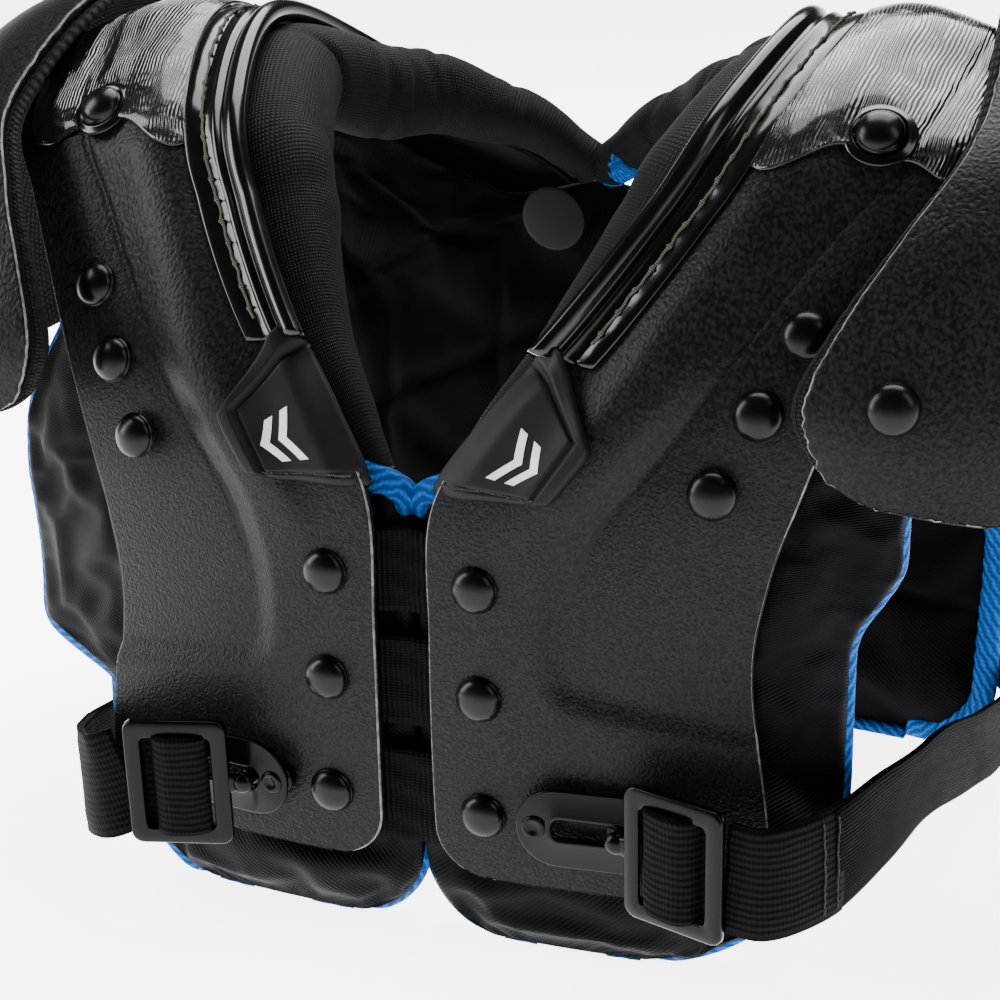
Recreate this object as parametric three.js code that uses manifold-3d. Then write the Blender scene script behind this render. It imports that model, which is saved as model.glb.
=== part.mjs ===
// Youth shoulder pads: two mirrored halves, each a moulded plastic arch over quilted pads, a collar
// roll, a hinged shoulder flap over a hinged cap, and a belt hooked into a slotted keeper.
// Millimetres. +X is the wearer's left, the chest faces -Y, +Z is up, and the pads stand on Z = 0.
import * as THREE from "three";
import { mergeVertices } from "three/addons/utils/BufferGeometryUtils.js";
import Module from "manifold-3d";

const wasm = await Module();
wasm.setup();

// ---- driving dimensions -------------------------------------------------------------------------
const DEPTH_SHIFT = 1.78;          // moves the whole model along Y so that its box is centred
const GAP = 0.3;               // clearance kept between flat pieces that touch
const LAYER = 0.9;             // clearance kept between curved layers
const ARCH_THICK = 3;          // moulded plastic plate
const PLATE_THICK = 2.6;       // flap and cap plates
const LINING_THICK = 2;
const STRAP_THICK = 2;
const BELT_WIDE = 31;
const PAD_FACE = -5;           // pad's outer face, below the arch's underside
const PAD_RIM = -10;           // pad's inner face at its stitched rim
const PAD_DEEP = -19;          // pad's inner face over the filling
const BINDING_WIDE = 8;
const BEAD_TALL = 5.5;
const FLANGE_WIDE = 15;        // sewn flange of the neck piping
const RIVET_HEAD = 6.25;
const RIVET_DOME = 3.6;
const RIVET_SHANK = 2.2;
const RIVET_TAIL = 5;
const HOLE = RIVET_SHANK + 0.6;
const FRONT_HEM = 0.5;         // station where the arch ends at the chest
const BACK_HEM = 14.5;         // and at the back
const V_FRONT = 3.4;           // station of the front neck point
const V_BACK = 11.5;           // station of the back neck point
const MM_PER_STATION = 50;     // spacing of the stations near both hems
const HEM_RADIUS = 14;
const KEEPER = { long: 46, tall: 23, thick: 1.6, lift: 6.6, x: 56, z: 47.3, slot: 21, slotTall: 5.4 };
const KEEPER_FOOT = { out: 19.3, radius: 4 };
const HOOK_TRAVEL = 16;
const HOOK_OUT = 61.3;         // hook's place across the chest at the slot's outer end
const BUCKLE = { long: 29, tall: 38, bar: 3.2, thick: 3, lift: 11, neck: 4 };
const BUCKLE_TILT = 22 * Math.PI / 180;   // the belt pulls the buckle's outer end off the chest
const BELT_LEAD = 1.4;         // belt's centre line below the buckle's underside where it starts
const WEBBING_SEAM = { left: 33, right: 42 };   // length of webbing before the knit strap
const REAR_KEEPER = { long: 40, tall: 20, thick: 1.6, lift: 7.4 };
const ELASTIC_REACH = 36;      // how far the elastic straps run to each side of the centre line
const FLAP_CORNER = 17;        // flap's corner, measured along its edge
const FLAP_CORNER_SHAPE = 0.8; // and how much less it draws in across the flap
const FLAP_WIDE = 55;
const COLLAR = { thin: 3, swell: 12, tuck: 2, sink: 5, backIn: 7, backUp: 15 };
const FLOOR_SNAP = 0.6;        // pad points this near the floor lie on it

// The pads: how far they reach from the centre line, and how their corners are rounded.
const FRONT_PAD = { reach: 119, corner: 60, neckGap: 8, tuck: 18, flare: 20 };
const BACK_PAD = { reach: 138, waist: 16, corner: 30, neckGap: 14 };
const PAD_PAST_ARM = 9;
const PAD_WIDEST = 152;
const PAD_CENTRE = 3.5;
const PAD_INNER_CORNER = { wide: 24, tall: 26 };

// The arch is a ruled surface between its neck edge and its arm edge, from the chest hem, over the
// shoulder, to the back hem. Each row is one station: the neck point, then the arm point.
const ARCH = [
  [[9, -92, 0], [103, -84, 0]],
  [[8, -93, 50], [99, -84, 50]],
  [[8, -92, 95], [94, -83.5, 90]],
  [[9, -90, 130], [97, -82, 115]],
  [[22, -83, 152], [103, -79, 136]],
  [[41, -70, 174], [114, -68, 167]],
  [[59, -53, 199], [133, -47, 197]],
  [[73, -33, 223], [149, -26, 214]],
  [[84, 10, 241], [155, 12, 226]],
  [[76, 52, 227], [148, 55, 211]],
  [[54, 73, 205], [135, 75, 184]],
  [[24, 84, 190], [122, 87, 145]],
  [[10, 88, 170], [114, 90, 108]],
  [[9, 91, 110], [110, 91, 75]],
  [[9, 92, 50], [110, 89, 40]],
  [[9, 90, 0], [113, 86, 0]],
];
const FLAP = [
  [[116, -95, 147], [160, -84, 140]],
  [[108, -95, 167], [166, -80, 164]],
  [[115, -86, 186], [172, -68, 187]],
  [[127, -71, 206], [177, -50, 206]],
  [[139, -46, 227], [182, -26, 220]],
  [[138, 10, 253], [185, 14, 232]],
  [[136, 60, 236], [180, 54, 221]],
  [[126, 88, 210], [174, 82, 202]],
  [[116, 102, 188], [168, 96, 180]],
  [[114, 108, 160], [161, 98, 154]],
];
const CAP = [
  [[147, -42, 213], [184, -44, 141]],
  [[149, -20, 228], [191, -22, 138]],
  [[150, 12, 238], [195, 12, 136]],
  [[149, 45, 225], [191, 46, 138]],
  [[147, 62, 212], [184, 68, 142]],
];

// ---- surfaces -----------------------------------------------------------------------------------
const vec = (p) => new THREE.Vector3(...p);
const smooth = (a, b, t) => THREE.MathUtils.smoothstep(t, a, b);

// A ruled surface: at(u, v, lift) is the point at station u, v of the way across, lifted off it.
function ruledSurface(stations, crown) {
  const last = stations.length - 1;
  const neck = new THREE.CatmullRomCurve3(stations.map((s) => vec(s[0])), false, "catmullrom", 0.5);
  const arm = new THREE.CatmullRomCurve3(stations.map((s) => vec(s[1])), false, "catmullrom", 0.5);
  const ends = (u) => {
    const t = THREE.MathUtils.clamp(u / last, 0, 1);
    return [neck.getPoint(t), arm.getPoint(t)];
  };
  const crownAxis = (u) => {
    const [a, b] = ends(Math.min(u + 0.05, last));
    const [c, d] = ends(Math.max(u - 0.05, 0));
    const along = a.add(b).sub(c).sub(d);
    const [e, f] = ends(u);
    return f.sub(e).cross(along).normalize();
  };
  const base = (u, v) => {
    const [e, f] = ends(u);
    return e.lerp(f, v).addScaledVector(crownAxis(u), crown(u) * 4 * v * (1 - v));
  };
  const normal = (u, v) => {
    const along = base(Math.min(u + 0.05, last), v).sub(base(Math.max(u - 0.05, 0), v));
    const across = base(u, v + 0.02).sub(base(u, v - 0.02));
    return across.cross(along).normalize();
  };
  const at = (u, v, lift = 0) => base(u, v).addScaledVector(normal(u, v), lift);
  const width = (u) => ends(u)[0].distanceTo(ends(u)[1]);
  return { at, normal, width, ends, last };
}
const arch = ruledSurface(ARCH, (u) => 3 + 6 * Math.exp(-(((u - 8.3) / 1.9) ** 2)));
const flap = ruledSurface(FLAP, () => 5);
const cap = ruledSurface(CAP, () => 20);

// ---- solids -------------------------------------------------------------------------------------
function meshFrom(points, triangles) {
  const geometry = new THREE.BufferGeometry();
  const numbers = points.flatMap((p) => p.toArray());
  geometry.setAttribute("position", new THREE.Float32BufferAttribute(numbers, 3));
  geometry.setIndex(triangles.flat());
  return geometry;
}

// A closed slab: rows of points on its outer face, and the matching rows on its inner face.
function slab(outer, inner) {
  const rows = outer.length;
  const cols = outer[0].length;
  const points = [...outer.flat(), ...inner.flat()];
  const top = (i, j) => i * cols + j;
  const low = (i, j) => rows * cols + i * cols + j;
  const triangles = [];
  const quad = (a, b, c, d) => triangles.push([a, b, c], [a, c, d]);
  for (let i = 0; i < rows - 1; i++) {
    for (let j = 0; j < cols - 1; j++) {
      quad(top(i, j), top(i, j + 1), top(i + 1, j + 1), top(i + 1, j));
      quad(low(i, j), low(i + 1, j), low(i + 1, j + 1), low(i, j + 1));
    }
    quad(top(i, 0), top(i + 1, 0), low(i + 1, 0), low(i, 0));
    quad(top(i + 1, cols - 1), top(i, cols - 1), low(i, cols - 1), low(i + 1, cols - 1));
  }
  for (let j = 0; j < cols - 1; j++) {
    quad(top(0, j + 1), top(0, j), low(0, j), low(0, j + 1));
    quad(top(rows - 1, j), top(rows - 1, j + 1), low(rows - 1, j + 1), low(rows - 1, j));
  }
  return meshFrom(points, triangles);
}

// A slab on a ruled surface: span(u) gives its two edges, high and low its faces' lifts.
function skin(surface, stations, span, across, high, low) {
  const rows = (lift) => stations.map((u) => {
    const [a, b] = span(u);
    return across.map((s) => {
      const v = a + (b - a) * s;
      return surface.at(u, v, lift(u, v, s));
    });
  });
  return slab(rows(high), rows(low));
}

// A round bar of changing radius along a list of centres, with closed ends.
function bar(centres, radii, sides) {
  const points = [];
  const triangles = [];
  const up = new THREE.Vector3(0.3, 0.2, 0.93);
  centres.forEach((centre, i) => {
    const along = centres[Math.min(i + 1, centres.length - 1)].clone()
      .sub(centres[Math.max(i - 1, 0)]).normalize();
    const side = up.clone().cross(along).normalize();
    const rise = along.clone().cross(side);
    up.copy(rise);
    for (let k = 0; k < sides; k++) {
      const turn = 2 * Math.PI * k / sides;
      points.push(centre.clone().addScaledVector(side, radii[i] * Math.cos(turn))
        .addScaledVector(rise, radii[i] * Math.sin(turn)));
    }
  });
  for (let i = 0; i < centres.length - 1; i++) {
    for (let k = 0; k < sides; k++) {
      const next = (k + 1) % sides;
      const near = i * sides;
      const far = near + sides;
      triangles.push([near + k, near + next, far + next], [near + k, far + next, far + k]);
    }
  }
  for (let k = 1; k < sides - 1; k++) {
    const far = (centres.length - 1) * sides;
    triangles.push([0, k + 1, k], [far, far + k, far + k + 1]);
  }
  return meshFrom(points, triangles);
}

// A flat strap along a curve, its width standing along the wide direction.
function ribbon(curve, from, to, steps, width, thick) {
  const outer = [];
  const inner = [];
  for (let i = 0; i <= steps; i++) {
    const t = from + (to - from) * i / steps;
    const centre = curve.getPointAt(t);
    const along = curve.getTangentAt(t);
    const out = along.clone().cross(new THREE.Vector3(0, 0, 1)).normalize();
    const wide = out.clone().cross(along).normalize();
    const edge = (s, lift) => centre.clone().addScaledVector(wide, s * width / 2)
      .addScaledVector(out, lift);
    outer.push([edge(1, thick / 2), edge(-1, thick / 2)]);
    inner.push([edge(1, -thick / 2), edge(-1, -thick / 2)]);
  }
  return slab(outer, inner);
}

function toManifold(geometry) {
  const bare = geometry.clone();
  bare.deleteAttribute("normal");
  bare.deleteAttribute("uv");
  const merged = mergeVertices(bare, 1e-4);
  const vertProperties = new Float32Array(merged.attributes.position.array);
  const triVerts = new Uint32Array(merged.index.array);
  return new wasm.Manifold(new wasm.Mesh({ numProp: 3, vertProperties, triVerts }));
}

function fromManifold(solid) {
  const { vertProperties, triVerts } = solid.getMesh();
  const geometry = new THREE.BufferGeometry();
  geometry.setAttribute("position", new THREE.BufferAttribute(new Float32Array(vertProperties), 3));
  geometry.setIndex([...triVerts]);
  return geometry;
}

const joined = (parts) => fromManifold(parts.map(toManifold).reduce((a, b) => a.add(b)));
const drilled = (body, tools) => fromManifold(tools.map(toManifold)
  .reduce((a, b) => a.subtract(b), toManifold(body)));

// Places a geometry made around +Z at a point, with its +Z turned to an axis.
function placed(geometry, point, axis) {
  const turn = new THREE.Quaternion().setFromUnitVectors(new THREE.Vector3(0, 0, 1), axis);
  return geometry.clone().applyQuaternion(turn).translate(...point.toArray());
}

function mirrored(geometry) {
  const copy = geometry.clone().scale(-1, 1, 1);
  const index = copy.index ? [...copy.index.array] : [...Array(copy.attributes.position.count).keys()];
  for (let i = 0; i < index.length; i += 3) [index[i + 1], index[i + 2]] = [index[i + 2], index[i + 1]];
  copy.setIndex(index);
  return copy;
}

// ---- rivets -------------------------------------------------------------------------------------
function rivet(seat, tail) {
  const dome = [0.02, 0.5, 1].map((s) => new THREE.Vector2(
    RIVET_HEAD * Math.sin(s * Math.PI / 2), seat + RIVET_DOME * Math.cos(s * Math.PI / 2)));
  dome[0].x = 0;
  const profile = [
    new THREE.Vector2(0, tail - 1.2),
    new THREE.Vector2(RIVET_TAIL, tail - 1.2),
    new THREE.Vector2(RIVET_TAIL, tail),
    new THREE.Vector2(RIVET_SHANK, tail),
    new THREE.Vector2(RIVET_SHANK, seat),
    ...dome.reverse(),
  ];
  return mergeVertices(new THREE.LatheGeometry(profile, 8).deleteAttribute("uv")
    .deleteAttribute("normal").rotateX(Math.PI / 2), 1e-4);
}
const holeTool = (place, lift = 0) => {
  const [surface, u, v] = place;
  const tool = new THREE.CylinderGeometry(HOLE, HOLE, 30, 8).rotateX(Math.PI / 2);
  return placed(tool, surface.at(u, v, lift), surface.normal(u, v));
};

// Rivet places: the surface, the station, and the share of the way across.
const CHEST_RIVETS = [[arch, 2.45, 0.16], [arch, 1.65, 0.165], [arch, 0.9, 0.16]];
const SIDE_RIVETS = [[arch, 5.25, 0.77], [arch, 4.65, 0.77], [arch, 3.97, 0.75]];
const BAND_RIVET = [arch, 6.85, 0.53];
const FLAP_RIVET = [flap, 1.1, 0.33];

// ---- rigid plates -------------------------------------------------------------------------------
const steps = (a, b, n) => [...Array(n + 1).keys()].map((i) => a + (b - a) * i / n);
const hemInset = (u, from, to, radius) => {
  const run = Math.min(u - from, to - u) * MM_PER_STATION;
  return run >= radius ? 0 : radius - Math.sqrt(radius ** 2 - (radius - run) ** 2);
};
const rounded = (surface, from, to, radius) => (u) => {
  const inset = hemInset(u, from, to, radius) / surface.width(u);
  return [inset, 1 - inset];
};
const CORNER_ROWS = [0, 0.08, 0.3, 0.6, 1];
const cornerRows = (hem, way) => CORNER_ROWS.map((s) => hem + way * s * HEM_RADIUS / MM_PER_STATION);

const archRows = (from, to) => steps(from, to, Math.round(2 * (to - from)));
const frontCorner = cornerRows(FRONT_HEM, 1);
const backCorner = cornerRows(BACK_HEM, -1).reverse();
const archStations = [...frontCorner, ...archRows(1, 14), ...backCorner];
const archAcross = [0, 0.16, 0.34, 0.52, 0.7, 0.86, 1];
const archSpan = rounded(arch, FRONT_HEM, BACK_HEM, HEM_RADIUS);
const archPlate = drilled(
  skin(arch, archStations, archSpan, archAcross, () => ARCH_THICK, () => 0),
  [...CHEST_RIVETS, ...SIDE_RIVETS, BAND_RIVET].map((place) => holeTool(place)),
);
const cantilever = drilled(
  skin(arch, archRows(3.5, 12.5), () => [0.66, 0.88], [0, 0.5, 1], () => -LAYER, () => -LAYER - 1.3),
  SIDE_RIVETS.map((place) => holeTool(place)),
);
const bandPlate = drilled(
  skin(arch, archRows(6.5, 9.5), (u) => [(FLANGE_WIDE + 1) / arch.width(u), 0.86], steps(0, 1, 4),
    () => ARCH_THICK + LAYER + 1.8, () => ARCH_THICK + LAYER),
  [holeTool(BAND_RIVET)],
);

const flapStations = [0, 0.08, 0.3, 0.6, 1, 1.6, 2.4, 3.2, 4.1, 5, 6, 7, 7.8, 8.4, 8.7, 8.92, 9];
const flapSpan = (u) => {
  const inset = hemInset(u, 0, flap.last, FLAP_CORNER) * FLAP_CORNER_SHAPE / FLAP_WIDE;
  return [inset, 1 - inset];
};
const flapPlate = drilled(
  skin(flap, flapStations, flapSpan, steps(0, 1, 4), () => PLATE_THICK, () => 0),
  [holeTool(FLAP_RIVET)],
);
const liningSpan = (u) => {
  const [a, b] = flapSpan(u);
  return [a - 0.03, b + 0.03];
};
const flapLining = drilled(
  skin(flap, flapStations, liningSpan, steps(0, 1, 4), () => -LAYER, () => -LAYER - LINING_THICK),
  [holeTool(FLAP_RIVET)],
);

const capSpan = (u) => {
  const inset = 0.12 * (Math.abs(u - 2) / 2) ** 4;
  return [inset * 0.3, 1 - inset];
};
const capStations = [0, 0.35, 1, 1.5, 2, 2.5, 3, 3.65, 4];
const capPlate = skin(cap, capStations, capSpan, steps(0, 1, 6), () => PLATE_THICK, () => 0);
const capLiningSpan = (u) => [capSpan(u)[0] + 0.16, capSpan(u)[1]];
const capLining = skin(cap, capStations, capLiningSpan, steps(0, 1, 5),
  () => -LAYER, () => -LAYER - LINING_THICK);

// ---- neck: piping, corner tab and collar roll ---------------------------------------------------
const beadSection = [0, 0.17, 0.36, 0.55, 1];
const beadLift = [BEAD_TALL, BEAD_TALL + 1.2, 2.2, 3, 2];
const neckBead = skin(arch, archRows(5.5, V_BACK),
  (u) => [-2 / arch.width(u), FLANGE_WIDE / arch.width(u)],
  beadSection,
  (u, v, s) => ARCH_THICK + LAYER + beadLift[beadSection.indexOf(s)],
  () => ARCH_THICK + LAYER);

// The tab's four corners on the arch: inner low, outer low, outer shoulder, tip.
const TAB = [[3.13, 0.0], [3.4, 0.34], [4.05, 0.37], [4.98, -0.01]];
function tabPlate() {
  const { lerp } = THREE.MathUtils;
  const rows = (lift) => steps(0, 1, 5).map((t) => steps(0, 1, 4).map((s) => {
    const mix = (k) => lerp(lerp(TAB[0][k], TAB[1][k], s), lerp(TAB[3][k], TAB[2][k], s), t);
    return arch.at(mix(0), mix(1), lift);
  }));
  return slab(rows(ARCH_THICK + LAYER + 3), rows(ARCH_THICK + LAYER));
}

const rollRise = (u) => smooth(V_FRONT - 0.6, 7.5, u) * (1 - 0.75 * smooth(8.6, V_BACK, u));
const rollRadius = (u) => COLLAR.thin + COLLAR.swell * rollRise(u);
function collarRoll() {
  const stations = steps(V_FRONT, V_BACK, 22);
  const centres = stations.map((u) => {
    const [neck, arm] = arch.ends(u);
    const outward = arm.sub(neck).normalize();
    const depth = rollRadius(u) + COLLAR.tuck + COLLAR.sink * (1 - rollRise(u));
    const inward = rollRadius(u) - COLLAR.thin + COLLAR.backIn * smooth(7.9, 9, u);
    const centre = neck.addScaledVector(outward, -inward).addScaledVector(arch.normal(u, 0), -depth);
    centre.z += COLLAR.backUp * smooth(8.7, 10.1, u) * (1 - 0.45 * smooth(10.3, V_BACK, u));
    return centre;
  });
  return bar(centres, stations.map(rollRadius), 10);
}

// ---- pads and their bindings --------------------------------------------------------------------
// An elliptical corner: how far an edge draws in at a height above the hem.
const corner = (rise, wide, tall) => {
  const share = Math.max(1 - rise / tall, 0);
  return wide * (1 - Math.sqrt(1 - share ** 2));
};

function padSpan(side, front) {
  return (u) => {
    const rise = (front ? u : arch.last - u) * MM_PER_STATION;
    const [neck, arm] = arch.ends(u);
    const shape = front ? FRONT_PAD : BACK_PAD;
    const above = smooth(1.12, 1.55, u);
    const flare = FRONT_PAD.flare * above * (1 - smooth(4.2, 5.4, u));
    const tuck = front && side < 0 ? FRONT_PAD.tuck * (1 - above) - flare : 0;
    const waist = front ? 0 : BACK_PAD.waist * (1 - smooth(11, 12.8, u));
    const reach = Math.min(Math.max(shape.reach - tuck - waist, arm.x + PAD_PAST_ARM), PAD_WIDEST);
    const outer = reach - corner(rise, shape.corner - tuck, shape.corner);
    const centreLine = PAD_CENTRE + corner(rise, PAD_INNER_CORNER.wide, PAD_INNER_CORNER.tall);
    const open = front ? smooth(2.9, 3.5, u) : 1 - smooth(11.7, 12.3, u);
    const inner = centreLine + open * (neck.x + shape.neckGap - centreLine);
    return [(inner - neck.x) / (arm.x - neck.x), (outer - neck.x) / (arm.x - neck.x)];
  };
}

function onFloor(geometry) {
  const position = geometry.attributes.position;
  for (let i = 0; i < position.count; i++) {
    if (position.getZ(i) < FLOOR_SNAP) position.setZ(i, 0);
  }
  return geometry;
}

const FRONT_ROWS = [0, 0.06, 0.2, 0.45, 0.8, 1.3, 2, 2.8, 3.3, 4, 5, 6, 7, 7.7];
const BACK_ROWS = [7.9, 9, 10, 11, 12, 12.6, 13.2, 13.8, 14.2, 14.55, 14.8, 14.94, 15];
function pad(side, front) {
  const rows = front ? FRONT_ROWS : BACK_ROWS;
  const span = padSpan(side, front);
  const swell = (u, v, s) => {
    const rise = (front ? u : arch.last - u);
    const fill = smooth(0.2, 0.45, rise) * smooth(0.09, 0.22, Math.min(s, 1 - s));
    return PAD_RIM + (PAD_DEEP - PAD_RIM) * fill;
  };
  return onFloor(skin(arch, rows, span, [0, 0.1, 0.24, 0.5, 0.76, 0.9, 1], () => PAD_FACE, swell));
}

// The binding lies on the rim's inner face: two side strips and a strip along the hem, as one tape.
function binding(side, front) {
  const span = padSpan(side, front);
  const hem = front ? 0.02 : arch.last - 0.02;
  const inboard = front ? 0.16 : arch.last - 0.16;
  const high = () => PAD_RIM - 2 * GAP;
  const low = () => PAD_RIM - 2 * GAP - 1.2;
  const rows = (front ? FRONT_ROWS.slice(1, 11) : BACK_ROWS.slice(2, -1));
  const edges = front ? [hem, ...rows] : [...rows, hem];
  const tape = (u) => Math.min(BINDING_WIDE / arch.width(u), 0.09 * (span(u)[1] - span(u)[0]));
  return joined([
    skin(arch, edges, (u) => [span(u)[0], span(u)[0] + tape(u)], [0, 1], high, low),
    skin(arch, edges, (u) => [span(u)[1] - tape(u), span(u)[1]], [0, 1], high, low),
    skin(arch, front ? [hem, 0.06, inboard] : [inboard, 14.94, hem],
      (u) => [span(u)[0] + 0.002, span(u)[1] - 0.002], steps(0, 1, 4), high, low),
  ]);
}

// ---- elastic straps that tie the halves ---------------------------------------------------------
function elastic(station, half, tools) {
  const rows = (lift) => [station - half, station, station + half].map((u) => steps(-1, 1, 8).map((s) => {
    const [neck, arm] = arch.ends(u);
    const v = (Math.abs(s) * ELASTIC_REACH - neck.x) / (arm.x - neck.x);
    const point = arch.at(u, v, lift);
    point.x *= Math.sign(s);
    return point;
  }));
  const body = slab(rows(-GAP), rows(-GAP - STRAP_THICK));
  return tools.length ? drilled(body, tools) : body;
}

// ---- keepers, hooks, buckles and belts ----------------------------------------------------------
const chestSpot = arch.at(0.95, (KEEPER.x - 8) / 91);
const chestOut = arch.normal(0.95, (KEEPER.x - 8) / 91);
chestOut.z = 0;
chestOut.normalize();
const chestAlong = new THREE.Vector3(0, 0, 1).cross(chestOut);
const chestBasis = new THREE.Matrix4().makeBasis(chestAlong, new THREE.Vector3(0, 0, 1), chestOut)
  .setPosition(chestSpot.x, chestSpot.y, KEEPER.z);

// Stadium outline of a plate or slot.
function stadium(long, tall) {
  const shape = new THREE.Shape();
  const reach = long / 2 - tall / 2;
  shape.absarc(reach, 0, tall / 2, -Math.PI / 2, Math.PI / 2, false);
  shape.absarc(-reach, 0, tall / 2, Math.PI / 2, 3 * Math.PI / 2, false);
  return shape;
}
const extrude = (shape, from, to, segments = 5) => new THREE.ExtrudeGeometry(shape,
  { depth: to - from, bevelEnabled: false, curveSegments: segments }).translate(0, 0, from);
const box = (x0, x1, y0, y1, z0, z1) => new THREE.BoxGeometry(x1 - x0, y1 - y0, z1 - z0)
  .translate((x0 + x1) / 2, (y0 + y1) / 2, (z0 + z1) / 2);

// Keeper: a raised slotted plate on a foot at each end. Local X runs outward across the chest.
function keeper() {
  const top = KEEPER.lift + KEEPER.thick;
  const { out, radius } = KEEPER_FOOT;
  const foot = (x) => new THREE.CylinderGeometry(radius, radius, KEEPER.lift - ARCH_THICK - 0.5, 12)
    .rotateX(Math.PI / 2).translate(x, 0, (KEEPER.lift + ARCH_THICK + 1.1) / 2);
  const slotShift = (HOOK_OUT - HOOK_TRAVEL / 2) - KEEPER.x;
  const slot = extrude(stadium(KEEPER.slot, KEEPER.slotTall), 0, 12).translate(slotShift, 0, 0);
  const plate = extrude(stadium(KEEPER.long, KEEPER.tall), KEEPER.lift, top);
  return drilled(joined([plate, foot(-out), foot(out)]), [slot]);
}

// Turns a piece of the buckle off the chest, about the hook.
const tilted = (geometry) => geometry.clone().translate(0, 0, -BUCKLE.lift)
  .rotateY(-BUCKLE_TILT).translate(0, 0, BUCKLE.lift);

// Hook and buckle in one: a headed stud in the slot, a neck, and a square frame for the belt.
function buckle() {
  const { long, tall, bar: wide, thick, lift, neck } = BUCKLE;
  const disc = (radius, low, high) => new THREE.CylinderGeometry(radius, radius, high - low, 12)
    .rotateX(Math.PI / 2).translate(0, 0, (low + high) / 2);
  const opening = box(neck + wide, neck + long - wide, -tall / 2 + wide, tall / 2 - wide,
    lift - 1, lift + thick + 1);
  const frame = drilled(box(neck, neck + long, -tall / 2, tall / 2, lift, lift + thick), [opening]);
  const arm = box(0, neck + 1, -3.4, 3.4, lift, lift + 1.6);
  return joined([disc(3.8, 4.4, 5.9), disc(1.9, 5.5, 9), disc(4, 8.7, lift + 1.6),
    tilted(arm), tilted(frame)]);
}

const hookPlace = (side) => (side > 0 ? HOOK_OUT : HOOK_OUT - HOOK_TRAVEL) - KEEPER.x;
const chestPlaced = (geometry, side) => geometry.clone().translate(hookPlace(side), 0, 0)
  .applyMatrix4(chestBasis);

// The belt's route round the side, from the buckle to the back plate.
function beltCurve(side) {
  const start = new THREE.Vector3(BUCKLE.neck + BUCKLE.long, 0, -BELT_LEAD)
    .applyAxisAngle(new THREE.Vector3(0, 1, 0), -BUCKLE_TILT);
  start.z += BUCKLE.lift;
  start.x += hookPlace(side);
  start.applyMatrix4(chestBasis);
  const backEnd = [0.9, 0.7, 0.52].map((v) => arch.at(14.1, v, ARCH_THICK + 2.4).toArray());
  const nearSide = side > 0
    ? [[104, -110, 47], [117, -97, 47], [127, -66, 43], [134, -25, 32]]
    : [[88, -113, 44], [99, -105, 40], [108, -87, 35], [115, -60, 30], [126, -22, 25]];
  const farSide = [[140, 20, 23], [144.5, 58, 18], [144.5, 78, 20], [138, 95, 25], [124, 102, 33]];
  const points = [start.toArray(), ...nearSide, ...farSide, ...backEnd];
  return new THREE.CatmullRomCurve3(points.map(vec), false, "centripetal");
}

function beltParts(side) {
  const curve = beltCurve(side);
  const length = curve.getLength();
  const seam = (side > 0 ? WEBBING_SEAM.left : WEBBING_SEAM.right) / length;
  const { long, thick, lift, neck } = BUCKLE;
  const edge = BUCKLE.bar + 1;
  const half = BELT_WIDE / 2 - 0.1;
  const loop = box(neck + edge, neck + long - edge, -half, half, lift - 0.4, lift + thick + 0.8);
  const tail = box(neck + long - edge - 3, neck + long + 1.5, -half, half, lift - BELT_LEAD - 1, lift - 0.35);
  const lead = ribbon(curve, 0.4 / length, seam, 8, BELT_WIDE, STRAP_THICK);
  const webbing = joined([chestPlaced(tilted(loop), side), chestPlaced(tilted(tail), side), lead]);
  const strap = ribbon(curve, seam + 0.6 / length, 1, 30, BELT_WIDE - 1, STRAP_THICK);
  return { webbing, strap };
}

const rearPlate = () => {
  const spot = arch.at(14.1, 0.56);
  const out = arch.normal(14.1, 0.56);
  const { long, tall, thick, lift } = REAR_KEEPER;
  return placed(extrude(stadium(long, tall), lift, lift + thick).rotateZ(Math.PI / 2), spot, out);
};

// ---- assembly -----------------------------------------------------------------------------------
const plastic = { color: 0x2b2d30, roughness: 0.55, metalness: 0 };
const nylon = { color: 0x101114, roughness: 0.85, metalness: 0 };
const elasticLook = { color: 0x0c0c0d, roughness: 0.8, metalness: 0 };
const vinyl = { color: 0x08080a, roughness: 0.25, metalness: 0 };
const steel = { color: 0x0a0a0b, roughness: 0.3, metalness: 0.6 };
const tape = { color: 0x0a78c8, roughness: 0.7, metalness: 0 };
const rubber = { color: 0x121214, roughness: 0.6, metalness: 0 };

const group = new THREE.Group();
group.position.y = DEPTH_SHIFT;
function addPiece(name, geometry, look) {
  const mesh = new THREE.Mesh(geometry, new THREE.MeshStandardMaterial(look));
  mesh.name = name;
  group.add(mesh);
}

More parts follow.
